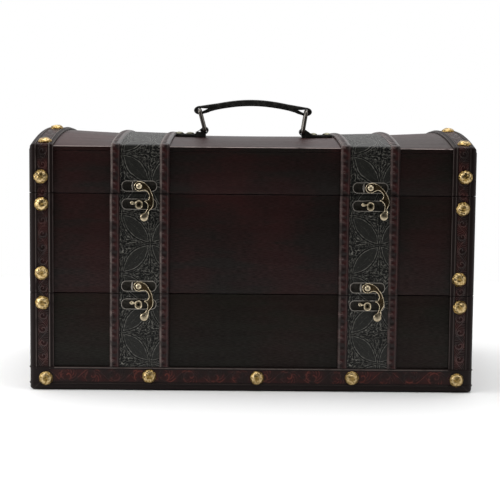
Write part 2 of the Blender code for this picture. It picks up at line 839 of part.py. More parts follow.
def build_chest():
    clear_scene()
    case = pivot_empty("case_frame", (0, 0, 0))
    tier = pivot_empty("tier_axis", (0, hinge_axis_depth, lower_seam), case)
    lid = pivot_empty("lid_axis", (0, hinge_axis_depth, upper_seam), tier)
    build_tray(case)
    build_tier(tier)
    build_lid(lid)
    latches = (
        ("upper_left", latch_place_upper_left, upper_seam, lid, tier, hook_swing_upper_left),
        ("upper_right", latch_place_upper_right, upper_seam, lid, tier, hook_swing_upper_right),
        ("lower_left", latch_place_lower_left, lower_seam, tier, case, hook_swing_lower_left),
        ("lower_right", latch_place_lower_right, lower_seam, tier, case, hook_swing_lower_right),
    )
    for word, x, seam, upper_part, lower_part, swing in latches:
        pivot_height = seam + pivot_above_seam
        build_hook_plate(word + "_hook_plate", x, pivot_height, upper_part)
        build_catch(word + "_catch", x, pivot_height - catch_below_pivot, lower_part)
        build_hook(word + "_hook", x, pivot_height, swing, upper_part)
    for word, x in strap_places:
        build_hinge("lower_" + word + "_hinge", x, lower_seam, case, tier, "tray_leaf", "tier_leaf")
        build_hinge("upper_" + word + "_hinge", x, upper_seam, tier, lid, "tier_leaf", "lid_leaf")
    for word, side_x in sides:
        build_tab("handle_" + word + "_tab", side_x, lid)
        build_ring("handle_" + word + "_ring", side_x, lid)
    build_grip(lid)


build_chest()
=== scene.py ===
"""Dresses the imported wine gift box: stained wood, tooled leather, brass studs and bronze latches.

Metres, +Z up, front towards -Y, origin under the middle of the box on the floor.
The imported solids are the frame: pieces here cover them or take their place, and none of them moves.
"""

import json
import math

import bmesh
import bpy
from mathutils import Matrix, Vector, noise


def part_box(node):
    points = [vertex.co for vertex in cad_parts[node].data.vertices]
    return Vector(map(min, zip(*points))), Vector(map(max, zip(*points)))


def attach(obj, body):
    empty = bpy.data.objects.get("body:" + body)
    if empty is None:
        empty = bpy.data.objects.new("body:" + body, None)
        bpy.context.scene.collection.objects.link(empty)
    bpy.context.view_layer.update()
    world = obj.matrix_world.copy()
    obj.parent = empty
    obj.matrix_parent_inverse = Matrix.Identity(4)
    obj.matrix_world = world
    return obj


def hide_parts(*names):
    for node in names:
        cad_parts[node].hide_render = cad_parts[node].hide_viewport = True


bl_info = {
    "name": "Wine Gift Box Dressing",
    "version": (1, 0, 0),
    "blender": (4, 5, 0),
    "location": "3D View > Sidebar > Gift Box",
    "description": "Tooled leather, stained wood, brass and bronze for a three-level wine gift box",
    "category": "Object",
}

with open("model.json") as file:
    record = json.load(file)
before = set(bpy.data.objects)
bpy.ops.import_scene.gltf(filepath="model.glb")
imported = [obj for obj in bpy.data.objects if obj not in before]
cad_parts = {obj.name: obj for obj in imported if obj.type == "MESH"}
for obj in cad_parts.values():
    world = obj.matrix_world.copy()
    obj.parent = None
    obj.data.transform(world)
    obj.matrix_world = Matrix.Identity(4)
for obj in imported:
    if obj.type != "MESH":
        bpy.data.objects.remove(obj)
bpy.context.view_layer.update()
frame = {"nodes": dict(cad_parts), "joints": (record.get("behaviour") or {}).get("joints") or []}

# Case, as the frame has it
tray_low, tray_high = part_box("tray_front_board")
tier_low, tier_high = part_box("tier_front_board")
case_half_width = tray_high.x
case_half_depth = -tray_low.y
tray_top = tray_high.z
tier_base = tier_low.z
tier_top = tier_high.z
lid_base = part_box("lid_front_board")[0].z
lid_panel_thickness = 0.004
lid_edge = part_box("lid_top_panel")[0].z + lid_panel_thickness
board_thickness = 0.006
arris_inset = 0.0009
floor_thickness = 0.004
crown_rise_ends = 0.0103
crown_rise_middle = 0.0035
seat_gap = 0.0003

# Straps
strip_half_width = 0.018
strip_thickness = 0.0016
border_width = 0.0091
border_edge_height = 0.0012
border_crest_height = 0.0031
dome_stretch = 1.8
leather_shifts = {"left": 0.0011, "right": 0.0008}
lid_border_steps = {"left": 0.0007, "right": 0.0004}
strap_sides = ("left", "right")

# Bands
band_width = 0.0195
band_thickness = 0.0016
band_corner_radius = 0.004
bead_near_corner = 0.0037
bead_from_inner_edge = 0.0036
bead_half_width = 0.0008
bead_height = 0.0007
inner_edge_round = 0.0009
base_band_height = 0.0217
base_band_thickness = 0.0021
base_band_lift = 0.0004
base_edge_radius = 0.0024
base_corner_radius = 0.0026
base_bead_low = 0.0064
base_bead_high = 0.0208
post_root_height = 0.0197
cut_line = 0.0005
cut_line_inset = 0.0004
soft_edge = 0.001
mitre_length = 0.007

# Tooling
leaf_wander = 0.0016
moon_wander = 0.0009
moon_straight_side = 0.0008
face_fade = 0.002
petal_half_width = 0.175
petal_shortening = 1.12

# Gloss and depths of the finishes
faint_specular = 0.08
leather_coat_roughness = 0.34
wood_relief = 0.0001
leaf_relief = 0.0011
moon_relief = 0.0005
vine_relief = 0.0004
crease_relief = 0.0002
patina_relief = 0.00012
hammer_relief = 0.0007
pile_relief = 0.0002
thread_relief = 0.0001
vine_wander = 0.002

# Latches
plate_length = 0.032
plate_height = 0.0098
plate_corner_radius = 0.0044
plate_back = 0.0022
plate_front = 0.0032
hook_back = 0.0037
hook_front = 0.0054
knob_head_back = 0.0067
hardware_reach = 0.008
catch_below_pivot = 0.0164
hook_reach = 0.013
hook_drop = 0.0313
hook_bore_radius = 0.0015
hook_outline_shares = (
    (0.0, 0.146), (0.28, 0.116), (0.53, 0.052), (0.715, -0.055), (0.875, -0.19), (0.975, -0.335),
    (1.0, -0.48), (0.935, -0.6), (0.775, -0.68), (0.665, -0.74), (0.63, -0.82), (0.6, -0.9),
    (0.5, -0.97), (0.34, -1.0), (0.185, -0.965), (0.125, -0.89), (0.185, -0.83), (0.34, -0.795),
    (0.475, -0.73), (0.545, -0.665), (0.59, -0.605), (0.58, -0.54), (0.5, -0.475), (0.375, -0.428),
    (0.555, -0.405), (0.685, -0.335), (0.67, -0.24), (0.575, -0.166), (0.415, -0.125), (0.2, -0.13),
    (0.0, -0.147), (-0.25, -0.104), (-0.354, 0.0), (-0.25, 0.104),
)
hook_ball_place_shares = (0.34, -0.9)
hook_swings = {"upper_left": 0, "lower_left": 1, "upper_right": 17, "lower_right": 10}

# Handle
wire_radius = 0.0018
wire_step = 0.002
ring_height = 0.0204
ring_half_width = 0.0103
ring_corner_radius = 0.0023
ring_leans = {"left": -15, "right": 9}
tab_width = 0.0165
tab_thickness = 0.0026
tab_loop_radius = 0.0034
grip_width = 0.0165
grip_thickness = 0.006
grip_loop_radius = 0.0041
grip_end_reach = 0.0055
grip_rise = 0.0078

# Mesh making
weld_distance = 0.00001
smooth_angle = math.radians(34)


# Places in the frame

def pivot(joint):
    for entry in frame["joints"]:
        if entry["name"] == joint:
            return Vector(entry["pos_m"])
    raise ValueError("the frame has no joint " + joint)


def strap_centre(side):
    low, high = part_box("tier_" + side + "_strap")
    return (low.x + high.x) / 2


def leather_centre(side):
    """Middle of a strap's leather, which lies a little to one side of the hinges."""
    return strap_centre(side) + leather_shifts[side]


# Shader maths

class Signal:
    """A socket in a finish. Arithmetic on it adds the Math nodes."""

    def __init__(self, finish, socket):
        self.finish = finish
        self.socket = socket

    def maths(self, operation, *others):
        sockets = dict(enumerate((self,) + others))
        return self.finish.node("ShaderNodeMath", {"operation": operation}, sockets)

    def __add__(self, other):
        return self.maths("ADD", other)

    __radd__ = __add__

    def __mul__(self, other):
        return self.maths("MULTIPLY", other)

    __rmul__ = __mul__

    def __sub__(self, other):
        return self.maths("SUBTRACT", other)

    def __rsub__(self, other):
        return self * -1 + other

    def __truediv__(self, other):
        return self.maths("DIVIDE", other)

    def __pow__(self, other):
        return self.maths("POWER", other)

    def __abs__(self):
        return self.maths("ABSOLUTE")

    def output(self, name):
        return Signal(self.finish, self.socket.node.outputs[name])

    def larger(self, other):
        return self.maths("MAXIMUM", other)

    def smaller(self, other):
        return self.maths("MINIMUM", other)

    def fraction(self):
        return self.maths("FRACT")

    def rises(self, start, end):
        """A smooth step from 0 at start to 1 at end."""
        return self.finish.node("ShaderNodeMapRange", {"interpolation_type": "SMOOTHSTEP"},
                                {"Value": self, "From Min": start, "From Max": end})

    def line(self, half_width):
        """1 where the value is 0, fading to 0 at the half width on both sides."""
        return 1 - abs(self).rises(0, half_width)


class Finish:
    """A procedural material, or the sky, with one method that makes its nodes."""

    def __init__(self, name, kind="materials", shader="Principled BSDF"):
        self.material = getattr(bpy.data, kind).new(name)
        self.material.use_nodes = True
        self.tree = self.material.node_tree
        self.shader = self.tree.nodes[shader]

    def node(self, kind, settings, sockets, output=0):
        made = self.tree.nodes.new(kind)
        for name, value in settings.items():
            setattr(made, name, value)
        self.fill(made, sockets)
        return Signal(self, made.outputs[output])

    def fill(self, node, sockets):
        for name, value in sockets.items():
            if isinstance(value, Signal):
                self.tree.links.new(value.socket, node.inputs[name])
            else:
                node.inputs[name].default_value = value

    def place(self):
        return self.node("ShaderNodeTexCoord", {}, {}, "Object")

    def left_half(self):
        """1 on the box's left half and 0 on its right half."""
        return 1 - self.axes(self.place())[0].rises(-0.02, 0.02)

    def pattern(self):
        return self.node("ShaderNodeUVMap", {"uv_map": "Pattern"}, {})

    def attribute(self, name):
        return self.node("ShaderNodeAttribute", {"attribute_name": name}, {}, "Fac")

    def axes(self, vector):
        split = self.node("ShaderNodeSeparateXYZ", {}, {0: vector})
        return split, split.output("Y"), split.output("Z")

    def noise(self, vector, scale, detail=3.0, stretch=(1, 1, 1)):
        if stretch != (1, 1, 1):
            vector = self.node("ShaderNodeMapping", {}, {"Vector": vector, "Scale": stretch})
        return self.node("ShaderNodeTexNoise", {}, {"Vector": vector, "Scale": scale, "Detail": detail})

    def cells(self, vector, scale):
        return self.node("ShaderNodeTexVoronoi", {}, {"Vector": vector, "Scale": scale})

    def blend(self, share, low, high):
        """Between two numbers."""
        return self.node("ShaderNodeMix", {"data_type": "FLOAT"}, {0: share, 2: low, 3: high})

    def mix(self, share, low, high):
        """Between two colours."""
        low = low if isinstance(low, Signal) else (*low, 1)
        high = high if isinstance(high, Signal) else (*high, 1)
        return self.node("ShaderNodeMix", {"data_type": "RGBA"}, {0: share, 6: low, 7: high}, 2)

    def bump(self, height, distance, strength=1.0):
        return self.node("ShaderNodeBump", {},
                         {"Height": height, "Distance": distance, "Strength": strength})

    def shade(self, sockets):
        self.fill(self.shader, sockets)
        return self.material


# Finishes

def shaded(colour, share):
    return [channel * share for channel in colour]


def stained_wood(name, dark, red, highlight_and_wear, grain_stretch):
    """Nearly black cherry stain under satin lacquer, redder in soft blotches, with a painted highlight along
    the lid's arris.

    The tray's boards and the right end took the stain darker and greener than the rest.
    """
    finish = Finish(name)
    place = finish.place()
    grain = finish.noise(place, 14, 6, grain_stretch)
    pores = finish.noise(place, 90, 4, grain_stretch)
    fibres = finish.noise(place, 210, 4, [max(share, 0.25) for share in grain_stretch])
    flecks = finish.noise(place, 210, 2).rises(0.74, 0.8)
    blotches = finish.noise(place, 11, 3)
    cherry = (blotches * 0.7 + grain * 0.45 + (fibres - 0.5) * 0.35).rises(0.5, 0.74)
    streaks = grain.rises(0.35, 0.7)
    across, depth, height = finish.axes(place)
    above_tray = (height - tray_top).rises(0, tier_base - tray_top)
    right_end = (across - case_half_width * 0.6).rises(0, 0.03)
    ruddy = above_tray * (1 - right_end * 0.55)
    mossy = (dark[0], dark[1] * 1.16, dark[2])
    # Painted highlight: the stain turns pale along the lid's top front and back arris.
    arris = ((abs(depth) - case_half_depth + arris_inset).rises(0, arris_inset * 0.3)
             * (height - lid_edge + arris_inset).rises(0, arris_inset * 0.3))
    colour = finish.mix(cherry * (ruddy * 0.65 + 0.35), finish.mix(ruddy, mossy, dark), red)
    colour = finish.mix(streaks * 0.5, colour, shaded(dark, 0.45))
    colour = finish.mix(flecks * 0.2, colour, highlight_and_wear)
    return finish.shade({
        "Base Color": finish.mix(arris * pores.rises(0.25, 0.5), colour, highlight_and_wear),
        "Roughness": 0.33 + grain * 0.12 + blotches * 0.1,
        "Specular IOR Level": faint_specular,
        "Coat Weight": fibres.rises(0.38, 0.62) * 0.18 + flecks * 0.3,
        "Coat Roughness": 0.42,
        "Normal": finish.bump(pores * 0.6 + grain + fibres * 0.5, wood_relief, 0.5),
    })


def drawn_out(along):
    """A distance along a strap or band, running slower where it crosses the dome."""
    over = (along - lid_edge).larger(0).smaller(2 * case_half_depth)
    return along - over * (1 - 1 / dome_stretch)


def petal_field(run, beside):
    """Above 0 inside a pointed petal between two whole numbers of run, and below 0 outside.

    With it come the distance from the petal's middle line and the place along it.
    """
    near = abs(beside - beside.maths("ROUND"))
    along = (run.fraction() - 0.5) * petal_shortening + 0.5
    return along * (1 - along) * (4 * petal_half_width) - near, near, along


def crossed_petals(finish, rising, falling):
    """Petals along both slanting directions, with the same three values as one field of them."""
    first, *first_places = petal_field(rising, falling)
    second, *second_places = petal_field(falling, rising)
    on_first = (first - second).rises(-0.001, 0.001)
    near, along = [finish.blend(on_first, *pair) for pair in zip(second_places, first_places)]
    return first.larger(second), near, along


def veined_ground(finish, pattern, rising, falling, sizes):
    """Veins that fan out from where the petals meet, and small rings among them."""
    beside_rise = rising - rising.maths("ROUND")
    beside_fall = falling - falling.maths("ROUND")
    from_x = (beside_rise - beside_fall) * sizes.leaf_column
    from_z = (beside_rise + beside_fall) * sizes.leaf_row
    angle = from_z.maths("ARCTAN2", from_x) / math.tau
    curls = finish.noise(pattern, 330, 1)
    fan = ((angle * 44 + curls * 1.6).fraction() - 0.5).line(0.3)
    rings = (finish.cells(pattern, 720).output("Distance") - 0.34).line(0.22)
    patchy = finish.noise(pattern, 170, 1).rises(0.35, 0.65)
    return (fan * (1 - patchy * 0.55)).larger(rings * (0.5 + patchy * 0.35))


def leaf_leather(name, colours, sizes):
    """Black leather pressed with crossed pointed leaves on a ground of veins, with painted shade in its
    ground and grooves and a painted highlight, partly scuffing, on its raised lines.
    """
    finish = Finish(name)
    pattern = finish.pattern()
    across, along, _ = finish.axes(pattern)
    astray = (finish.noise(pattern, 120, 2) - 0.5) * leaf_wander
    column = (across - sizes.leaf_offset + astray) / sizes.leaf_column
    row = (drawn_out(along) - sizes.leaf_row_start + astray * 0.75) / sizes.leaf_row
    rising = (column + row) * 0.5
    falling = (row - column) * 0.5
    leaf, near, step = crossed_petals(finish, rising, falling)
    inside = leaf.rises(0.0, 0.012)
    outline = (leaf - 0.008).line(0.016)
    groove = (leaf + 0.018).line(0.016)
    second_outline = (leaf + 0.044).line(0.014)
    veins = ((step * 9 + near * 22).fraction() - 0.5).line(0.3) * inside
    rib = near.line(0.014) * inside
    worked = veined_ground(finish, pattern, rising, falling, sizes)
    ground = worked * (1 - inside * 0.7) * (1 - groove) * (1 - second_outline)
    grain = finish.noise(pattern, 2600, 2)
    raised = outline.larger(second_outline * 0.75).larger(ground * 0.9).larger(rib * 0.3)
    height = raised - groove * 0.7 + veins * 0.15 + inside * 0.35 + grain * 0.2
    # Painted highlight, partly scuffing: the raised lines turn pale.
    scuffed = finish.noise(pattern, 380, 2).rises(0.35, 0.65)
    highlight_and_wear = (raised * (0.45 + scuffed * 0.6) + inside * 0.05).rises(0.12, 0.9)
    # Painted shade: the ground between the leaves and the grooves are darker.
    hollow = shaded(colours.leather_black, 0.2)
    base = finish.mix((1 - inside).larger(groove) * (1 - raised), colours.leather_black, hollow)
    return finish.shade({
        "Base Color": finish.mix(highlight_and_wear, base, colours.leather_highlight_and_scuff),
        "Roughness": 0.5 + grain * 0.1,
        "Specular IOR Level": faint_specular,
        "Coat Weight": highlight_and_wear * 0.58 + inside * 0.12 + 0.23,
        "Coat Roughness": leather_coat_roughness,
        "Normal": finish.bump(height, leaf_relief),
    })


def rope_leather(name, colours, sizes):
    """Reddish brown leather rolled over a cord, pressed with a row of half-moons, with painted highlights on
    its left side, on the lips of the half-moons and near its right edge, and painted shade in the half-moons
    and along its right edge.
    """
    finish = Finish(name)
    pattern = finish.pattern()
    across, along, _ = finish.axes(pattern)
    share = across / border_width
    wander = finish.noise(pattern, 260, 2) - 0.5
    step = ((drawn_out(along) / sizes.moon_pitch + wander * 0.5).fraction() - 0.5) * sizes.moon_pitch
    beside = (across + sizes.moon_offset + wander * moon_wander).larger(-moon_straight_side)
    reach = ((beside / sizes.moon_width) ** 2 + (step / sizes.moon_height) ** 2) ** 0.5
    moon = 1 - reach.rises(0.7, 1.05)
    lip = (reach - 1.2).line(0.2) * (0 - beside).rises(-0.5 * moon_straight_side, moon_straight_side)
    on_face = 1 - (along - lid_edge).rises(-face_fade, 0)
    blotches = finish.noise(pattern, 130, 3)
    grain = finish.noise(pattern, 1700, 3)
    # Painted highlight: a pale line down the left side of each border, stronger on the box's left half, where
    # the light comes from.
    lit_flank = (share + 0.36).line(0.17) * (0.3 + blotches.rises(0.3, 0.6) * 0.7)
    lit_flank = lit_flank * (finish.left_half() * 0.5 + 0.5)
    # Painted highlight: a thin pale line near the right edge.
    seam = (share - 0.3).line(0.09) * 0.16
    highlight_and_wear = (lit_flank * 0.72).larger(lip * blotches.rises(0.4, 0.6) * 0.5).larger(seam)
    colour = finish.mix(blotches.rises(0.38, 0.62), colours.leather_dark_red, colours.leather_red)
    # Painted shade: the half-moons and a line along the right edge are darker.
    dark = shaded(colours.leather_dark_red, 0.25)
    colour = finish.mix(moon * (0.06 + wander.rises(-0.12, 0.12) * 0.42), colour, dark)
    colour = finish.mix((share - 0.44).line(0.08) * 0.8, colour, dark)
    return finish.shade({
        "Base Color": finish.mix(highlight_and_wear, colour, colours.leather_red_highlight),
        "Roughness": 0.5 + grain * 0.14,
        "Specular IOR Level": faint_specular,
        "Coat Weight": (1 - moon) * (0.7 - on_face * 0.38) + moon * on_face * 0.32,
        "Coat Roughness": leather_coat_roughness,
        "Normal": finish.bump(grain * 0.25 - moon * 0.5 + lip * 0.4, moon_relief, 0.9),
    })


def scroll_lines(along, across, cell, spread):
    """Scrolls that curl alternately up and down along a band, joined by a waving stem."""
    turn = along / cell
    odd = ((turn - turn.fraction()) * 0.5).fraction() * 2
    flip = 1 - odd * 2
    step = (turn.fraction() - 0.5) * cell
    rise = across * flip
    radius = (step * step + rise * rise) ** 0.5
    angle = rise.maths("ARCTAN2", step) / math.tau
    arm = cell * 0.26
    in_curl = 1 - radius.rises(cell * 0.3, cell * 0.36)
    curl = ((radius / arm - angle).fraction() - 0.5).line(0.2) * in_curl
    stem = ((turn * math.pi).maths("SINE") * (cell * 0.3) - across).line(cell * 0.045)
    lobes = ((angle * 9 + radius / arm * 2).fraction() - 0.5).line(0.26)
    within = 1 - radius.rises(cell * spread, cell * (spread + 0.1))
    leaves = lobes * radius.rises(cell * 0.16, cell * 0.2) * within
    return curl.larger(stem).larger(leaves * 0.75)


def band_leather(name, colours, centre, half_width, cell, mirrored):
    """Tooled leather: a scrolling vine pressed into the field between two plain edges, with painted shade on
    the ground between the scroll lines and painted highlights on the beads, cut lines and raised scroll
    lines, stronger on the side that the light comes from.
    """
    finish = Finish(name)
    pattern = finish.pattern()
    across, along, _ = finish.axes(pattern)
    distance = abs(across) if mirrored else across
    along = drawn_out(along) if mirrored else along
    offset = distance - centre
    wander = finish.noise(pattern, 170, 2)
    astray = (wander - 0.5) * vine_wander
    lines = scroll_lines(along + astray, offset + astray * 0.75, cell, 0.9 if mirrored else 0.33)
    field = 1 - abs(offset).rises(half_width * 0.8, half_width)
    inner = offset.rises(0, soft_edge)
    # Painted highlight: the beads, the cut line and the mitre line are lit pale, more on the box's left half
    # and on the inner or upper bead.
    beads = (abs(offset) - (half_width + bead_half_width)).line(bead_half_width)
    if mirrored:
        beads = beads * (inner * 0.35 + 0.4) * (finish.left_half() * 0.6 + 0.4)
        beads = beads.larger((distance - band_width + cut_line_inset).line(cut_line) * 0.4)
    else:
        to_right, to_back, height = finish.axes(finish.place())
        from_corner = (case_half_width - abs(to_right)).larger(case_half_depth - abs(to_back))
        clear = from_corner.rises(band_width, band_width + soft_edge)
        in_foot = 1 - from_corner.rises(mitre_length, mitre_length + 2 * soft_edge)
        mitre = (from_corner - height).line(cut_line) * in_foot
        field = field * from_corner.rises(band_width - 4 * soft_edge, band_width - soft_edge)
        beads = (beads * clear * (inner * 0.6 + 0.1)).larger(mitre * 0.3)
    blotches = finish.noise(pattern, 90, 3)
    grain = finish.noise(pattern, 1500, 3)
    scroll = lines * field
    red = field * blotches.rises(0.3, 0.7)
    colour = finish.mix(red, colours.leather_dark_red, colours.leather_red)
    colour = finish.mix(field, colours.leather_edge, colour)
    # Painted shade: the ground between the scroll lines is darker.
    hollow = shaded(colours.leather_dark_red, 0.35)
    colour = finish.mix(field * (1 - scroll) * (0.45 if mirrored else 0.1), colour, hollow)
    glow = scroll * blotches.rises(0.42, 0.62) * (0.4 if mirrored else 0.7)
    colour = finish.mix(glow, colour, colours.leather_glow)
    # Painted highlight on the beads and the raised scroll lines.
    highlight_and_wear = (beads * 0.9).larger(scroll * (0.9 - blotches) * (0.45 if mirrored else 0.1))
    return finish.shade({
        "Base Color": finish.mix(highlight_and_wear * blotches.rises(0.2, 0.5), colour, colours.leather_red_highlight),
        "Roughness": 0.5 + grain * 0.14,
        "Specular IOR Level": faint_specular,
        "Coat Weight": field * (scroll * 0.65 - 0.03) + 0.1 if mirrored else field * 0.06 + 0.15,
        "Coat Roughness": leather_coat_roughness,
        "Normal": finish.bump(scroll + beads * 0.2 + grain * 0.15, vine_relief, 0.9),
    })


def grip_leather(name, colours):
    """Plain black calf leather with fine creases."""
    finish = Finish(name)
    place = finish.place()
    grain = finish.cells(place, 1300)
    creases = finish.noise(place, 220, 4, (1, 0.4, 1))
    brightened = shaded(colours.leather_highlight_and_scuff, 0.22)
    return finish.shade({
        "Base Color": finish.mix(creases.rises(0.45, 0.75), colours.leather_black, brightened),
        "Roughness": 0.42 + creases * 0.2,
        "Specular IOR Level": 0.3,
        "Normal": finish.bump(grain.output("Distance") * 0.5 + creases, crease_relief, 0.6),
    })


def aged_metal_with_shine(name, dull, bright, roughness, shine):
    """Aged metal: dull in the hollows, and bright where the wear_and_shine attribute marks wearing, or on the
    studs a painted shine, and where small scuffs catch it.
    """
    finish = Finish(name)
    place = finish.place()
    patina = finish.noise(place, 420, 4)
    scuffs = finish.noise(place, 1500, 3)
    # On the studs this attribute is a painted highlight ring with painted shade; elsewhere it marks wearing.
    wear_and_shine = finish.attribute("wear_and_shine")
    brightened = (wear_and_shine * (0.62 + patina * 0.7) + scuffs.rises(0.56, 0.8) * shine).smaller(1.0)
    aged = finish.mix(patina.rises(0.35, 0.7), dull, shaded(dull, 0.55))
    return finish.shade({
        "Base Color": finish.mix(brightened, aged, bright),
        "Metallic": 1.0,
        "Roughness": roughness + patina * 0.18 - brightened * 0.12,
        "Normal": finish.bump(patina + scuffs * 0.4, patina_relief, 0.6),
    })


def stud_brass(name, colours):
    """Hammered antique brass, darker in its dents, with a painted highlight ring round its middle and painted
    shade in its middle and round its foot.
    """
    finish = Finish(name)
    place = finish.place()
    dents = finish.cells(place, 430)
    patina = finish.noise(place, 600, 4)
    tarnish = (1 - dents.output("Distance").rises(0.2, 0.6)) * patina.rises(0.25, 0.5)
    bright = finish.attribute("wear_and_shine") * (1 - tarnish * 0.8)
    return finish.shade({
        "Base Color": finish.mix(bright, colours.stud_tarnish_and_shade, colours.stud_shine),
        "Metallic": 1.0,
        "Roughness": 0.24 + patina * 0.16,
        "Normal": finish.bump(dents.output("Distance") + patina * 0.8, hammer_relief, 0.9),
    })


def velvet(name, colour):
    """Short dark pile."""
    finish = Finish(name)
    place = finish.place()
    pile = finish.noise(place, 2200, 2)
    brushed = finish.noise(place, 30, 3)
    light = [min(1, channel * 2.2) for channel in colour]
    return finish.shade({
        "Base Color": finish.mix(brushed.rises(0.35, 0.7) * 0.6 + pile * 0.3, colour, light),
        "Roughness": 0.9,
        "Sheen Weight": 0.35,
        "Sheen Roughness": 0.4,
        "Specular IOR Level": 0.15,
        "Normal": finish.bump(pile, pile_relief, 0.6),
    })


def waxed_thread(name, colour):
    finish = Finish(name)
    place = finish.place()
    ply = finish.node("ShaderNodeTexWave", {}, {"Vector": place, "Scale": 700, "Distortion": 2})
    return finish.shade({
        "Base Color": finish.mix(ply * 0.6, colour, shaded(colour, 0.5)),
        "Roughness": 0.6,
        "Normal": finish.bump(ply, thread_relief, 0.5),
    })


def pale_floor(name, colour):
    finish = Finish(name)
    shade = finish.noise(finish.place(), 3, 2)
    return finish.shade({
        "Base Color": finish.mix(shade, colour, shaded(colour, 0.985)),
        "Roughness": 0.8,
        "Specular IOR Level": 0.1,
    })


# Settings

def colour_setting(name, description, default):
    return bpy.props.FloatVectorProperty(name=name, description=description, default=default,
                                         subtype="COLOR", size=3, min=0, max=1)


def length_setting(name, description, default):
    return bpy.props.FloatProperty(name=name, description=description, default=default,
                                   unit="LENGTH", precision=5, min=0)


class GiftBoxSizes(bpy.types.PropertyGroup):
    """Sizes of the dressing that a user may change."""

    stud_diameter: length_setting("Stud diameter", "Across a stud's head", 0.0132)
    stud_height: length_setting("Stud height", "How far a stud's head stands up", 0.0036)
    tab_stud_diameter: length_setting("Tab stud diameter", "Across the studs that hold the handle", 0.0092)
    tab_stud_height: length_setting("Tab stud height", "How far those studs stand up", 0.0018)
    moon_pitch: length_setting("Half-moon pitch", "From one half-moon of a border to the next", 0.0056)
    moon_width: length_setting("Half-moon width", "Half of a half-moon across the border", 0.0017)
    moon_height: length_setting("Half-moon height", "Half of a half-moon along the border", 0.002)
    moon_offset: length_setting("Half-moon offset", "From the half-moons to the middle of the border", 0.0001)
    moon_depth: length_setting("Half-moon depth", "How deep the half-moons are pressed", 0.0004)
    leaf_offset: length_setting("Leaf offset", "From the middle of a strap to where the leaves meet", 0.0097)
    leaf_column: length_setting("Leaf column", "Across the strap from one meeting point to the next", 0.0257)
    leaf_row: length_setting("Leaf row", "Up the strap from one meeting point to the next", 0.0272)
    leaf_row_start: length_setting("Leaf row start", "Height of one meeting point on the tier", 0.1353)
    band_scroll: length_setting("Band scroll", "Length of one curl on the end bands", 0.0125)
    base_scroll: length_setting("Base scroll", "Length of one curl on the base band", 0.0225)
    board_round: length_setting("Board edge", "Radius along the edges of the boards", 0.0008)
    stitch_pitch: length_setting("Stitch pitch", "From one stitch of the grip to the next", 0.0034)


class GiftBoxColours(bpy.types.PropertyGroup):
    """Colours of the dressing that a user may change."""

    wood_dark: colour_setting("Dark wood", "The stain at its darkest", (0.0115, 0.0088, 0.0076))
    wood_red: colour_setting("Red wood", "The stain where the cherry shows", (0.031, 0.0085, 0.0082))
    # Painted highlight along the lid's arris, also the colour of the pale flecks on the dome.
    wood_highlight_and_flecks: colour_setting("Worn wood", "The lid's arris", (0.42, 0.34, 0.32))
    # Painted light: the dome's two colours are the boards' stain painted lighter, as the lit top of the same
    # wood.
    dome_lit_dark: colour_setting("Dark dome", "The dome's stain at its darkest", (0.032, 0.0165, 0.0158))
    dome_lit_red: colour_setting("Red dome", "The dome's stain where the cherry shows", (0.06, 0.024, 0.0235))
    leather_black: colour_setting("Black leather", "The straps' pressed leather", (0.0125, 0.0125, 0.0103))
    # Painted highlight, partly scuffing, on the raised lines of the pressed leather; also the colour of the
    # grip's creases.
    leather_highlight_and_scuff: colour_setting("Worn leather", "Its raised lines", (0.2, 0.194, 0.168))
    leather_dark_red: colour_setting("Dark red leather", "Borders and bands, dark", (0.0125, 0.0058, 0.0052))
    leather_red: colour_setting("Red leather", "Borders and bands, red", (0.039, 0.008, 0.0075))
    leather_edge: colour_setting("Leather edge", "The plain edges of the bands", (0.011, 0.006, 0.0055))
    leather_glow: colour_setting("Scroll red", "The redder parts of the scrolls", (0.15, 0.03, 0.018))
    # Painted highlight on the red leather of the borders and the bands.
    leather_red_highlight: colour_setting("Rubbed leather", "Where red leather is rubbed pale", (0.2, 0.165, 0.15))
    # Painted highlight ring of the studs.
    stud_shine: colour_setting("Stud brass", "Polished brass of the studs", (0.68, 0.51, 0.26))
    # Dark brass in the dents, also the painted shade in the middle and at the foot of the studs.
    stud_tarnish_and_shade: colour_setting("Stud shade", "Dark brass in the dents", (0.23, 0.135, 0.022))
    # Painted glint on the studs that hold the handle.
    tab_stud_glint: colour_setting("Tab stud", "The studs that hold the handle", (0.3, 0.29, 0.2))
    bronze_dull: colour_setting("Bronze", "Plates, rings and hinges", (0.032, 0.029, 0.025))
    bronze_bright: colour_setting("Worn bronze", "Their rubbed edges", (0.4, 0.37, 0.33))
    hook_dull: colour_setting("Hook bronze", "The faces of the hooks", (0.045, 0.03, 0.014))
    hook_bright: colour_setting("Hook brass", "The hooks' rubbed edges and balls", (0.85, 0.72, 0.5))
    lining: colour_setting("Lining", "The pile inside the levels", (0.03, 0.0055, 0.0085))
    thread: colour_setting("Thread", "Stitches of the grip", (0.035, 0.033, 0.03))
    floor: colour_setting("Floor", "The floor that the box stands on", (0.9, 0.9, 0.9))


def settings():
    scene = bpy.context.scene
    return scene.gift_box_sizes, scene.gift_box_colours


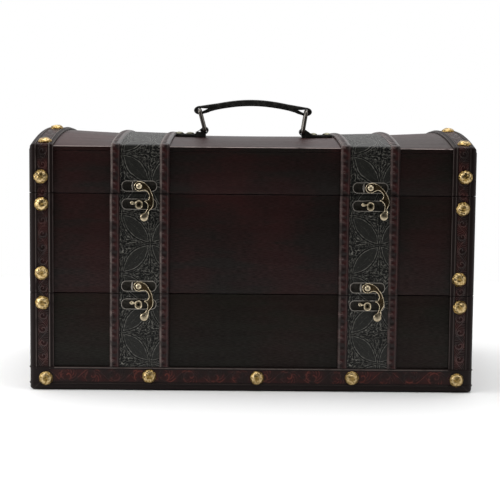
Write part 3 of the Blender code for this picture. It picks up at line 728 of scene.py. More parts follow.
def finish_named(name):
    """The finish of that name, made the first time that it is asked for."""
    made = bpy.data.materials.get(name)
    if made:
        return made
    sizes, colours = settings()
    stain = (colours.wood_dark, colours.wood_red, colours.wood_dark)
    # Painted light: the dome's stain is a lighter copy of the boards' stain.
    lit_dome_stain = (colours.dome_lit_dark, colours.dome_lit_red, colours.wood_highlight_and_flecks)
    along_grain = (1, 9, 9)
    across_grain = (9, 1, 9)
    base_centre = (base_bead_low + base_bead_high) / 2
    base_half = (base_bead_high - base_bead_low) / 2 - bead_half_width
    leg_centre = (bead_near_corner + band_width - bead_from_inner_edge) / 2
    leg_half = (band_width - bead_from_inner_edge - bead_near_corner) / 2 - bead_half_width
    makers = {
        "wood_along": lambda: stained_wood(name, *stain, along_grain),
        "wood_across": lambda: stained_wood(name, *stain, across_grain),
        "wood_dome_lit": lambda: stained_wood(name, *lit_dome_stain, along_grain),
        "leaf_leather": lambda: leaf_leather(name, colours, sizes),
        "rope_leather": lambda: rope_leather(name, colours, sizes),
        "band_leather": lambda: band_leather(name, colours, leg_centre, leg_half, sizes.band_scroll, True),
        "base_leather": lambda: band_leather(name, colours, base_centre, base_half, sizes.base_scroll, False),
        "grip_leather": lambda: grip_leather(name, colours),
        "stud_brass": lambda: stud_brass(name, colours),
        # The tab studs carry a painted glint.
        "tab_brass": lambda: aged_metal_with_shine(name, colours.bronze_dull, colours.tab_stud_glint, 0.35, 0.3),
        "hook_brass": lambda: aged_metal_with_shine(name, colours.hook_dull, colours.hook_bright, 0.3, 0.35),
        "aged_bronze": lambda: aged_metal_with_shine(name, colours.bronze_dull, colours.bronze_bright, 0.38, 0.12),
        "velvet": lambda: velvet(name, colours.lining),
        "thread": lambda: waxed_thread(name, colours.thread),
        "floor": lambda: pale_floor(name, colours.floor),
    }
    return makers[name]()


# Making pieces

def add_object(name, data):
    made = bpy.data.objects.new(name, data)
    bpy.context.scene.collection.objects.link(made)
    return made


def mesh_object(name, shape, finish):
    mesh = bpy.data.meshes.new(name)
    shape.to_mesh(mesh)
    shape.free()
    mesh.materials.append(finish_named(finish))
    return add_object(name, mesh)


def add_piece(name, shape, finish, body, *replaced):
    """Puts a finished shape in the scene, riding on a body, in place of any nodes that are named."""
    piece = mesh_object(name, shape, finish)
    piece.data.shade_smooth()
    piece.data.set_sharp_from_angle(angle=smooth_angle)
    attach(piece, body)
    if replaced:
        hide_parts(*replaced)
    return piece


def close_up(shape):
    """Welds doubles, fills open ends and turns the faces outwards."""
    bmesh.ops.remove_doubles(shape, verts=shape.verts, dist=weld_distance)
    rims = [edge for edge in shape.edges if edge.is_boundary]
    if rims:
        bmesh.ops.holes_fill(shape, edges=rims, sides=0)
    bmesh.ops.recalc_face_normals(shape, faces=shape.faces)
    return shape


def append(shape, part):
    """Adds one shape to another and drops it."""
    mesh = bpy.data.meshes.new("part")
    part.to_mesh(mesh)
    part.free()
    shape.from_mesh(mesh)
    bpy.data.meshes.remove(mesh)


def sweep(profile, stations, relief=None):
    """Carries a closed outline through a row of stations.

    An outline point is (across, offset, distance across the pattern), and a station is a function
    from across and offset to a place, with its distance along the pattern.
    """
    shape = bmesh.new()
    pattern = shape.loops.layers.uv.new("Pattern")
    columns = len(profile) - 1
    rows = len(stations) - 1
    bmesh.ops.create_grid(shape, x_segments=columns, y_segments=rows, size=1)
    marks = {}
    for vertex in shape.verts:
        across, offset, share = profile[round((vertex.co.x + 1) / 2 * columns)]
        place, along = stations[round((vertex.co.y + 1) / 2 * rows)]
        if relief:
            offset += relief(offset, share, along)
        vertex.co = place(across, offset)
        marks[vertex] = (share, along)
    for face in shape.faces:
        for loop in face.loops:
            loop[pattern].uv = marks[loop.vert]
    return close_up(shape)


def turned(profile, place, heading, steps, turn=0.0):
    """Spins an outline of (radius, height) round an axis that stands at a place."""
    shape = bmesh.new()
    points = [shape.verts.new((radius, 0, height)) for radius, height in profile]
    edges = [shape.edges.new(pair) for pair in zip(points, points[1:])]
    bmesh.ops.spin(shape, geom=points + edges, cent=(0, 0, 0), axis=(0, 0, 1), angle=math.tau,
                   steps=steps, use_merge=True)
    bmesh.ops.rotate(shape, cent=(0, 0, 0), matrix=Matrix.Rotation(turn, 3, "Z"), verts=shape.verts)
    stand(shape, place, heading)
    return close_up(shape)


def stand(shape, place, heading):
    """Turns a shape's Z to a heading and moves it to a place."""
    aim = Vector(heading).to_track_quat("Z", "Y").to_matrix()
    bmesh.ops.rotate(shape, cent=(0, 0, 0), matrix=aim, verts=shape.verts)
    bmesh.ops.translate(shape, vec=Vector(place), verts=shape.verts)


def round_edges(shape, edges, radius, segments):
    bmesh.ops.bevel(shape, geom=edges, offset=radius, offset_type="OFFSET", segments=segments,
                    profile=0.5, affect="EDGES", material=-1)


def box_between(low, high):
    shape = bmesh.new()
    bmesh.ops.create_cube(shape, size=1)
    size = Vector(high) - Vector(low)
    bmesh.ops.scale(shape, vec=size, verts=shape.verts)
    bmesh.ops.translate(shape, vec=Vector(low) + size / 2, verts=shape.verts)
    return shape


def swing_about(shape, swing, place):
    """Turns a shape anticlockwise, as the front shows it, and moves its origin to a place in X and Z."""
    shape.transform(Matrix.Translation((place[0], 0, place[1])) @ Matrix.Rotation(-swing, 4, "Y"))


def flat_mesh(outlines, thickness, bevel, rounded):
    """The mesh of a flat curve with rounded edges, whose first outline may be a smooth one."""
    curve = bpy.data.curves.new("outline", "CURVE")
    curve.dimensions = "2D"
    curve.fill_mode = "BOTH"
    curve.extrude = thickness / 2 - bevel
    curve.bevel_depth = bevel
    curve.bevel_resolution = 2
    curve.offset = -bevel
    curve.resolution_u = 4
    for outline in outlines:
        smooth = rounded and outline is outlines[0]
        spline = curve.splines.new("BEZIER" if smooth else "POLY")
        points = spline.bezier_points if smooth else spline.points
        points.add(len(outline) - 1)
        for point, (x, z) in zip(points, outline):
            point.co = (x, z, 0) if smooth else (x, z, 0, 1)
            if smooth:
                point.handle_left_type = "AUTO"
                point.handle_right_type = "AUTO"
        spline.use_cyclic_u = True
    drawn = add_object("outline", curve)
    bpy.context.view_layer.update()
    mesh = bpy.data.meshes.new_from_object(drawn.evaluated_get(bpy.context.evaluated_depsgraph_get()))
    bpy.data.objects.remove(drawn, do_unlink=True)
    bpy.data.curves.remove(curve)
    return mesh


def cut_piece(outlines, front, back, bevel, rim=0.0, rounded=False, swing=0.0, place=(0, 0)):
    """An outline in X and Z and its holes, cut out between two depths, with rubbed edges."""
    mesh = flat_mesh(outlines, abs(back - front), bevel, rounded)
    shape = bmesh.new()
    shape.from_mesh(mesh)
    bpy.data.meshes.remove(mesh)
    upright = Matrix.Rotation(math.radians(90), 4, "X")
    shape.transform(Matrix.Translation((0, (front + back) / 2, 0)) @ upright)
    swing_about(shape, swing, place)
    close_up(shape)
    mark_brightness(shape, lambda point: 1.0 if abs(point.y - back) > bevel * 1.1 else 0.0)
    face = [each for each in shape.faces
            if all(abs(vertex.co.y - front) < weld_distance for vertex in each.verts)]
    if rim:
        bmesh.ops.inset_region(shape, faces=face, thickness=rim, depth=-rim * 0.25, use_even_offset=True,
                               use_boundary=True)
    wear_and_shine = shape.verts.layers.float["wear_and_shine"]
    for each in face:
        for vertex in each.verts:
            vertex[wear_and_shine] = 0.0
    return shape


def mark_brightness(shape, amount):
    """Marks how bright each point of a shape is, from wearing or, on the studs, painted shine: amount(point)
    or one share.
    """
    wear_and_shine = shape.verts.layers.float.get("wear_and_shine") or shape.verts.layers.float.new("wear_and_shine")
    for vertex in shape.verts:
        vertex[wear_and_shine] = amount(vertex.co) if callable(amount) else amount
    return shape


def arc(centre, radius, start, end, steps):
    """Points from one angle to another round a centre. Two radii make the arc an oval one."""
    across, up = radius if isinstance(radius, tuple) else (radius, radius)
    angles = [start + (end - start) * step / steps for step in range(steps + 1)]
    return [(centre[0] + across * math.cos(angle), centre[1] + up * math.sin(angle)) for angle in angles]


def rounded_outline(width, height, radius, centre=(0, 0), steps=5):
    points = []
    for quarter, (side_x, side_z) in enumerate(((1, 1), (-1, 1), (-1, -1), (1, -1))):
        corner = (centre[0] + side_x * (width / 2 - radius), centre[1] + side_z * (height / 2 - radius))
        start = math.pi / 2 * quarter
        points += arc(corner, radius, start, start + math.pi / 2, steps)
    return points


def circle_outline(radius, centre=(0, 0), steps=28):
    return arc(centre, radius, 0, math.tau, steps)[:-1]


def teardrop_outline(radius, centre, tip, steps=16):
    """A circle drawn out to a point."""
    reach = Vector(tip) - Vector(centre)
    heading = math.atan2(reach.y, reach.x)
    spread = math.acos(min(1.0, radius / reach.length))
    return [tip] + arc(centre, radius, heading + spread, heading + math.tau - spread, steps)


# Where leather lies

strip_rows = 6
band_rows = 8
lid_rows = (6, 6, 48)


def crown_rise(x):
    share = min(1.0, abs(x) / (case_half_width - board_thickness))
    return crown_rise_middle + (crown_rise_ends - crown_rise_middle) * share ** 2


def lid_surface(x, y):
    return lid_edge + crown_rise(x) * (1 - (y / case_half_depth) ** 2)


def lid_normal(x, y):
    return Vector((0, 2 * crown_rise(x) * y / case_half_depth ** 2, 1)).normalized()


def upright_stations(side, base, top, rows, centre=0.0, flip=1):
    """Stations up the front (side -1) or the back (side 1) of a level."""
    def at(height):
        return lambda across, offset: Vector(
            (centre + flip * across, side * (case_half_depth + offset), height))
    heights = [base + (top - base) * row / rows for row in range(rows + 1)]
    return [(at(height), height) for height in heights]


def lid_stations(rows_of_runs, centre=0.0, flip=1):
    """Stations from the foot of the lid's front, over the dome, to the foot of its back.

    The numbers of rows are those up a side, round its top corner and over the dome.
    """
    upright_rows, turn_rows, crown_rows = rows_of_runs

    def upright(side, share):
        def place(across, offset):
            top = lid_edge + min(0, offset)
            return Vector((centre + flip * across, side * (case_half_depth + offset),
                           lid_base + (top - lid_base) * share))
        return place

    def corner(side, share):
        def place(across, offset):
            x = centre + flip * across
            if offset <= 0:
                return Vector((x, side * (case_half_depth + offset), lid_edge + offset))
            angle = (math.pi / 2 - math.atan2(2 * crown_rise(x), case_half_depth)) * share
            return Vector((x, side * (case_half_depth + offset * math.cos(angle)),
                           lid_edge + offset * math.sin(angle)))
        return place

    def crown(share):
        def place(across, offset):
            x = centre + flip * across
            inset = min(0, offset)
            y = share * case_half_depth
            top = Vector((x, share * (case_half_depth + inset), lid_surface(x, y) + inset))
            return top + lid_normal(x, y) * max(0, offset)
        return place

    rise = lid_edge - lid_base
    turn = (seat_gap + strip_thickness) * math.pi / 2
    runs = (
        (lambda share: upright(-1, share), rise, upright_rows, range(upright_rows)),
        (lambda share: corner(-1, share), turn, turn_rows, range(turn_rows)),
        (lambda share: crown(2 * share - 1), 2 * case_half_depth, crown_rows, range(crown_rows + 1)),
        (lambda share: corner(1, 1 - share), turn, turn_rows, range(1, turn_rows + 1)),
        (lambda share: upright(1, 1 - share), rise, upright_rows, range(1, upright_rows + 1)),
    )
    stations = []
    along = lid_base
    for place_at, length, count, rows in runs:
        stations += [(place_at(row / count), along + length * row / count) for row in rows]
        along += length
    return stations


def foot_stations(radius, turn_rows):
    """Stations round the foot of the tray; across is outwards and offset is up."""
    stations = []
    along = 0.0
    lengths = (2 * case_half_width, 2 * case_half_depth) * 2
    corners = ((-1, -1), (1, -1), (1, 1), (-1, 1), (-1, -1))
    for number, (side_x, side_y) in enumerate(corners):
        start = math.radians(180 + 90 * number)
        first = turn_rows // 2 if number == 0 else 0
        last = turn_rows // 2 if number == 4 else turn_rows
        centre = Vector((side_x * (case_half_width - radius), side_y * (case_half_depth - radius), 0))
        for row in range(first, last + 1):
            angle = start + math.pi / 2 * row / turn_rows
            heading = Vector((math.cos(angle), math.sin(angle), 0))

            def place(out, height, centre=centre, heading=heading):
                return centre + heading * (radius + out) + Vector((0, 0, height))
            stations.append((place, along + radius * math.pi / 2 * row / turn_rows))
        if number < 4:
            along += lengths[number]
    return stations


# Outlines of the leather

def strip_outline(step_in=0.0, columns=8):
    """A flat strip, narrower on its left where the border steps in."""
    left = -strip_half_width - seat_gap + step_in
    right = strip_half_width + seat_gap
    points = [(left, seat_gap, left)]
    for column in range(columns + 1):
        across = left + (right - left) * column / columns
        points.append((across, seat_gap + strip_thickness, across))
    points.append((right, seat_gap, right))
    return points + points[:1]


def border_outline(side, step_in=0.0, columns=14):
    """A rolled border on one side of a strip."""
    middle = side * (strip_half_width + border_width / 2) + step_in
    half = border_width / 2
    points = [(middle - half, seat_gap, -half)]
    for column in range(columns + 1):
        across = -math.cos(math.pi * column / columns)
        height = border_edge_height + (border_crest_height - border_edge_height) * math.sqrt(1 - across ** 2)
        points.append((middle + half * across, seat_gap + height, half * across))
    points.append((middle + half, seat_gap, half))
    return points + points[:1]


def rope_relief(offset, share, along):
    """The half-moons pressed into a rolled border."""
    sizes, _ = settings()
    if offset < seat_gap + border_edge_height:
        return 0.0
    over = min(max(along - lid_edge, 0), 2 * case_half_depth)
    step = (((along - over * (1 - 1 / dome_stretch)) / sizes.moon_pitch) % 1 - 0.5) * sizes.moon_pitch
    reach = math.hypot((share + sizes.moon_offset) / sizes.moon_width, step / sizes.moon_height)
    return -sizes.moon_depth * max(0.0, 1 - reach ** 2)


def bead(centre, face):
    """Over a small round bead that stands on a face: (place, height)."""
    shares = [step / 3 for step in range(-3, 4)]
    return [(centre + share * bead_half_width, face + bead_height * math.sqrt(1 - share ** 2))
            for share in shares]


def leg_outline():
    """Over one leg of a band from the corner outwards: (distance, height)."""
    edge = (band_width - inner_edge_round, band_thickness - inner_edge_round)
    return (bead(bead_near_corner, band_thickness) + bead(band_width - bead_from_inner_edge, band_thickness)
            + arc(edge, inner_edge_round, math.pi / 2, 0, 2))


def corner_outline(steps=6):
    """Round a corner of the case: a leg on the face, the corner and a leg on the end."""
    leg = leg_outline()
    points = [(case_half_width - along, seat_gap + height, -along) for along, height in reversed(leg)]
    offset = seat_gap + band_thickness - band_corner_radius
    turn = arc((case_half_width + offset, offset), band_corner_radius, math.pi / 2, 0, steps)
    for step, (across, height) in enumerate(turn):
        points.append((across, height, band_corner_radius * (step / steps - 0.5)))
    points += [(case_half_width + seat_gap + height, -along, along) for along, height in leg]
    points.append((case_half_width + seat_gap, -band_width, band_width))
    points.append((case_half_width + seat_gap, seat_gap, 0))
    points.append((case_half_width - band_width, seat_gap, -band_width))
    return points + points[:1]


def foot_outline():
    """Up the base band: a rounded foot, a bead, the tooled field and a bead at the top."""
    face = seat_gap + base_band_thickness
    foot = (face - base_edge_radius, base_band_lift + base_edge_radius)
    points = [(seat_gap, base_band_lift)] + arc(foot, base_edge_radius, -math.pi / 2, 0, 4)
    for centre in (base_bead_low, base_bead_high):
        points += [(out, height) for height, out in bead(centre, face)]
    points += [(face - bead_half_width, base_band_height), (seat_gap, base_band_height)]
    return [(out, height, height) for out, height in points + points[:1]]


# Wood

joint_share = 0.3
wood_nodes = {
    "tray": ("front_board", "back_board", "left_board", "right_board", "floor"),
    "tier": ("front_board", "back_board", "left_board", "right_board", "floor"),
    "lid": ("front_board", "back_board"),
}


def dress(node, finish):
    """Gives a solid of the frame a finish."""
    mesh = frame["nodes"][node].data
    mesh.materials.clear()
    mesh.materials.append(finish_named(finish))


class GIFTBOX_OT_wood(bpy.types.Operator):
    """Stained boards with softened edges, and the domed panel"""

    bl_idname = "gift_box.wood"
    bl_label = "Wood"

    def execute(self, context):
        sizes, _ = settings()
        for level, parts in wood_nodes.items():
            for part in parts:
                node = level + "_" + part
                low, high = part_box(node)
                finish = "wood_across" if part in ("left_board", "right_board") else "wood_along"
                edge = sizes.board_round * (joint_share if level == "lid" else 1)
                board = box_between(low, high)
                round_edges(board, board.edges[:], edge, 3)
                add_piece(node + "_wood", board, finish, level, node)
        for side in strap_sides:
            dress("lid_" + side + "_gable", "wood_across")
        self.dome()
        return {"FINISHED"}

    def dome(self):
        sizes, _ = settings()
        shape = bmesh.new()
        bmesh.ops.create_grid(shape, x_segments=48, y_segments=32, size=1)
        for vertex in shape.verts:
            x = vertex.co.x * case_half_width
            y = vertex.co.y * case_half_depth
            vertex.co = (x, y, lid_surface(x, y))
        under = bmesh.ops.duplicate(shape, geom=shape.verts[:] + shape.edges[:] + shape.faces[:])
        verts = [item for item in under["geom"] if isinstance(item, bmesh.types.BMVert)]
        bmesh.ops.translate(shape, vec=(0, 0, -lid_panel_thickness), verts=verts)
        bmesh.ops.bridge_loops(shape, edges=[edge for edge in shape.edges if edge.is_boundary])
        bmesh.ops.recalc_face_normals(shape, faces=shape.faces)
        rims = [edge for edge in shape.edges if edge.calc_face_angle(0) > math.radians(50)
                and all(abs(vertex.co.z - lid_surface(vertex.co.x, vertex.co.y)) < weld_distance
                        for vertex in edge.verts)]
        round_edges(shape, rims, sizes.board_round, 3)
        # Painted light: the top faces take the lighter dome stain, and the rim faces keep the boards' stain.
        for face in shape.faces:
            face.material_index = 1 if abs(face.normal.z) < 0.3 else 0
        dome = add_piece("lid_dome_wood", shape, "wood_dome_lit", "lid", "lid_top_panel")
        dome.data.materials.append(finish_named("wood_along"))


# Lining

lining_inset = 0.0001
lining_thickness = 0.0006
lining_round = 0.0025
lining_rim = 0.0012


def add_lining(name, shape, body):
    """Gives an open skin its thickness, inwards, and puts it in the scene."""
    bmesh.ops.recalc_face_normals(shape, faces=shape.faces)
    bmesh.ops.solidify(shape, geom=shape.faces[:], thickness=lining_thickness)
    add_piece(name, shape, "velvet", body)


def level_lining(level, low, high):
    """A skin of pile on the floor and walls of the tray or the tier."""
    shape = box_between(low, high)
    bmesh.ops.delete(shape, geom=[face for face in shape.faces if face.normal.z > 0.9], context="FACES")
    inner = [edge for edge in shape.edges if not edge.is_boundary]
    round_edges(shape, inner, lining_round, 4)
    add_lining(level + "_lining", shape, level)


class GIFTBOX_OT_lining(bpy.types.Operator):
    """The dark pile inside the three levels, and the bottle cradles"""

    bl_idname = "gift_box.lining"
    bl_label = "Lining"

    def execute(self, context):
        half_width = case_half_width - board_thickness - lining_inset
        half_depth = case_half_depth - board_thickness - lining_inset
        for level, base, top in (("tray", 0, tray_top), ("tier", tier_base, tier_top)):
            dress(level + "_bottle_cradle", "velvet")
            level_lining(level, (-half_width, -half_depth, base + floor_thickness + lining_inset),
                         (half_width, half_depth, top - lining_rim))
        self.lid_lining(half_width, half_depth, lid_base + lining_rim)
        return {"FINISHED"}

    def lid_lining(self, half_width, half_depth, foot):
        """Under the dome and down the lid's four walls."""
        shape = bmesh.new()
        bmesh.ops.create_grid(shape, x_segments=24, y_segments=16, size=1)
        for vertex in shape.verts:
            x = vertex.co.x * half_width
            y = vertex.co.y * half_depth
            vertex.co = (x, y, lid_surface(x, y) - lid_panel_thickness - lining_inset)
        walls = bmesh.ops.extrude_edge_only(shape, edges=[edge for edge in shape.edges if edge.is_boundary])
        for item in walls["geom"]:
            if isinstance(item, bmesh.types.BMVert):
                item.co.z = foot
        add_lining("lid_lining", shape, "lid")


# Straps

rope_row = 0.00055
lid_rope_rows = (70, 8, 460)


class GIFTBOX_OT_straps(bpy.types.Operator):
    """Pressed leather strips between rolled borders, over front, dome and back"""

    bl_idname = "gift_box.straps"
    bl_label = "Straps"

    def execute(self, context):
        for side in strap_sides:
            centre = leather_centre(side)
            for level in ("tray", "tier"):
                for word, face in (("", -1), ("back_", 1)):
                    node = level + "_" + word + side + "_strap"
                    low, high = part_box(node)
                    rows = round((high.z - low.z) / rope_row)
                    self.strap(node, level, upright_stations(face, low.z, high.z, strip_rows, centre),
                               upright_stations(face, low.z, high.z, rows, centre))
            self.strap("lid_" + side + "_strap", "lid", lid_stations(lid_rows, centre),
                       lid_stations(lid_rope_rows, centre), lid_border_steps[side])
        return {"FINISHED"}

    def strap(self, node, level, strip_stations, rope_stations, step_in=0.0):
        strip = sweep(strip_outline(step_in), strip_stations)
        add_piece(node + "_leather", strip, "leaf_leather", level, node)
        ropes = sweep(border_outline(-1, step_in), rope_stations, rope_relief)
        append(ropes, sweep(border_outline(1), rope_stations, rope_relief))
        add_piece(node + "_borders", ropes, "rope_leather", level)


# Bands

class GIFTBOX_OT_bands(bpy.types.Operator):
    """Tooled leather round the corners and over the ends of the lid"""

    bl_idname = "gift_box.bands"
    bl_label = "Bands"

    def execute(self, context):
        outline = corner_outline()
        for side, flip in (("left", -1), ("right", 1)):
            for word, face in (("front", -1), ("back", 1)):
                node = "tier_" + word + "_" + side + "_band"
                stations = upright_stations(face, tier_base, tier_top, band_rows, 0, flip)
                add_piece(node + "_leather", sweep(outline, stations), "band_leather", "tier", node)
                node = "tray_" + word + "_" + side + "_band"
                stations = upright_stations(face, post_root_height, tray_top, band_rows, 0, flip)
                add_piece(node + "_leather", sweep(outline, stations), "band_leather", "tray")
            node = "lid_" + side + "_end_band"
            stations = lid_stations(lid_rows, 0, flip)
            add_piece(node + "_leather", sweep(outline, stations), "band_leather", "lid", node)
        base = sweep(foot_outline(), foot_stations(base_corner_radius, band_rows))
        add_piece("tray_base_band_leather", base, "base_leather", "tray", "tray_edge_binding")
        return {"FINISHED"}


# Studs

front_studs = {
    "lid": ((-0.1916, 0.1953), (0.192, 0.1978)),
    "tier": ((-0.1912, 0.1705), (-0.1911, 0.1077), (0.1905, 0.169), (0.1884, 0.1047)),
    "tray": ((-0.1906, 0.0803), (0.1896, 0.0791)),
}
base_studs = ((-0.1877, 0.0108), (-0.0934, 0.0134), (0.0053, 0.0125), (0.0922, 0.013), (0.188, 0.0118))
side_base_studs = (-0.078, 0.0, 0.078)
dome_studs = ((-0.189, -0.1183), (0.192, -0.1158), (-0.1895, -0.019), (0.1905, -0.013),
              (-0.189, 0.1183), (0.192, 0.1158))
tab_studs = (-0.0716, -0.0609, 0.0596, 0.0731)
side_base_stud_height = 0.0128
stud_sides = 11
dent_seed = 3
dent_scale = 420
dent_share = 0.16
next_dents = Vector((7, 3, 0))
facet_rounding_share = 0.045
stud_outline_shares = ((0, 0.95), (0.28, 1.0), (0.5, 0.93), (0.7, 0.76), (0.85, 0.52), (0.96, 0.26),
                       (1.0, 0.1), (0.98, 0.0), (0, 0.0))


def stud(diameter, height, place, heading, seed):
    """A hammered round head: a flat middle, facets round it and a thin rim."""
    radius = diameter / 2
    outline = [(radius * out, height * up) for out, up in stud_outline_shares]
    shape = turned(outline, (0, 0, 0), (0, 0, 1), stud_sides, seed)
    for vertex in shape.verts:
        if vertex.co.z > height * 0.2:
            wander = noise.noise_vector(vertex.co * dent_scale + next_dents * seed)
            vertex.co += Vector((wander.x, wander.y, wander.z * 0.5)) * radius * dent_share
    round_edges(shape, shape.edges[:], radius * facet_rounding_share, 1)
    # Painted light: the stud's brightness is a highlight ring, with shade in the middle and at the foot.
    mark_brightness(shape, lambda point: stud_painted_shine(math.hypot(point.x, point.y) / radius))
    stand(shape, place, heading)
    return shape


def stud_painted_shine(share):
    """Painted highlight and shade of a stud at a share of its radius: brightest in a ring round its middle,
    darker in the middle and at the foot.
    """
    if share < 0.6:
        return min(1.0, max(0.2, (share - 0.2) / 0.3))
    return max(0.3, 1 - (share - 0.7) / 0.2) if share > 0.7 else 1.0


class GIFTBOX_OT_studs(bpy.types.Operator):
    """Hammered brass studs along the bands and on the handle's tabs"""

    bl_idname = "gift_box.studs"
    bl_label = "Studs"

    def execute(self, context):
        sizes, _ = settings()
        noise.seed_set(dent_seed)
        self.seed = 1
        for level in ("tray", "tier", "lid"):
            self.row(level + "_studs", self.places(level), sizes.stud_diameter, sizes.stud_height,
                     "stud_brass", level)
        on_tabs = [((x, 0, lid_surface(x, 0) + seat_gap + tab_thickness), (0, 0, 1)) for x in tab_studs]
        self.row("handle_tab_studs", on_tabs, sizes.tab_stud_diameter, sizes.tab_stud_height,
                 "tab_brass", "lid")
        return {"FINISHED"}

    def row(self, name, places, diameter, height, finish, body):
        shape = bmesh.new()
        for place, heading in places:
            append(shape, stud(diameter, height, place, heading, self.seed))
            self.seed += 1
        add_piece(name, shape, finish, body)

    def places(self, level):
        band_face = case_half_depth + seat_gap + band_thickness
        for x, z in front_studs[level]:
            yield (x, -band_face, z), (0, -1, 0)
            yield (x, band_face, z), (0, 1, 0)
        if level == "tray":
            face = case_half_depth + seat_gap + base_band_thickness
            end_face = case_half_width + seat_gap + base_band_thickness
            for x, z in base_studs:
                yield (x, -face, z), (0, -1, 0)
                yield (x, face, z), (0, 1, 0)
            for y in side_base_studs:
                yield (-end_face, y, side_base_stud_height), (-1, 0, 0)
                yield (end_face, y, side_base_stud_height), (1, 0, 0)
        if level == "lid":
            for x, y in dome_studs:
                normal = lid_normal(x, y)
                yield Vector((x, y, lid_surface(x, y))) + normal * (seat_gap + band_thickness), normal


# Latches

plate_rounding = 0.00025
plate_rim = 0.0005
sunk_in_plate = 0.0002
collar_radius = 0.0071
collar_thickness = 0.0019
collar_spread = math.radians(38)
collar_height = 0.0008
collar_rounding = 0.0002
rivet_outline = (
    (0, -0.0022), (0.0013, -0.0022), (0.0013, 0.0003), (0.0024, 0.0003), (0.0026, 0.0007), (0.0023, 0.0011),
    (0.0018, 0.0013), (0.0015, 0.0012), (0.0011, 0.0008), (0.0008, 0.0006), (0, 0.0007),
)
knob_width = 0.0066
knob_height = 0.0078
knob_wall = 0.001
knob_rounding = 0.0004
knob_floor_drop = 0.0006
knob_floor_rounding = 0.0001
knob_neck_outline = ((0, -0.0001), (0.0017, -0.0001), (0.0015, 0.0012), (0.0015, 0.0042), (0, 0.0042))
drop_radius = 0.0015
drop_bore_radius = 0.0005
drop_place = (-0.0066, 0.0012)
drop_tip = (-0.0018, 0.0008)
drop_height = 0.0011
hook_rounding = 0.00045
hook_rim = 0.0002
ball_radius = 0.0036
ball_flatness = 0.37
ball_neck = Vector((0.62, 0, 0.78))
ball_neck_share = 0.75
ball_stands_out = 0.0004


def crescent_outline(centre, radius, thickness, spread, steps=14):
    """A crescent on the left of a centre, thickest in its middle and pointed at its ends."""
    outer = arc(centre, radius, math.pi - spread, math.pi + spread, steps)
    inner = []
    for step in range(steps - 1, 0, -1):
        reach = 1 - thickness / radius * (1 - (2 * step / steps - 1) ** 2)
        inner.append([middle + (edge - middle) * reach for middle, edge in zip(centre, outer[step])])
    return outer + inner


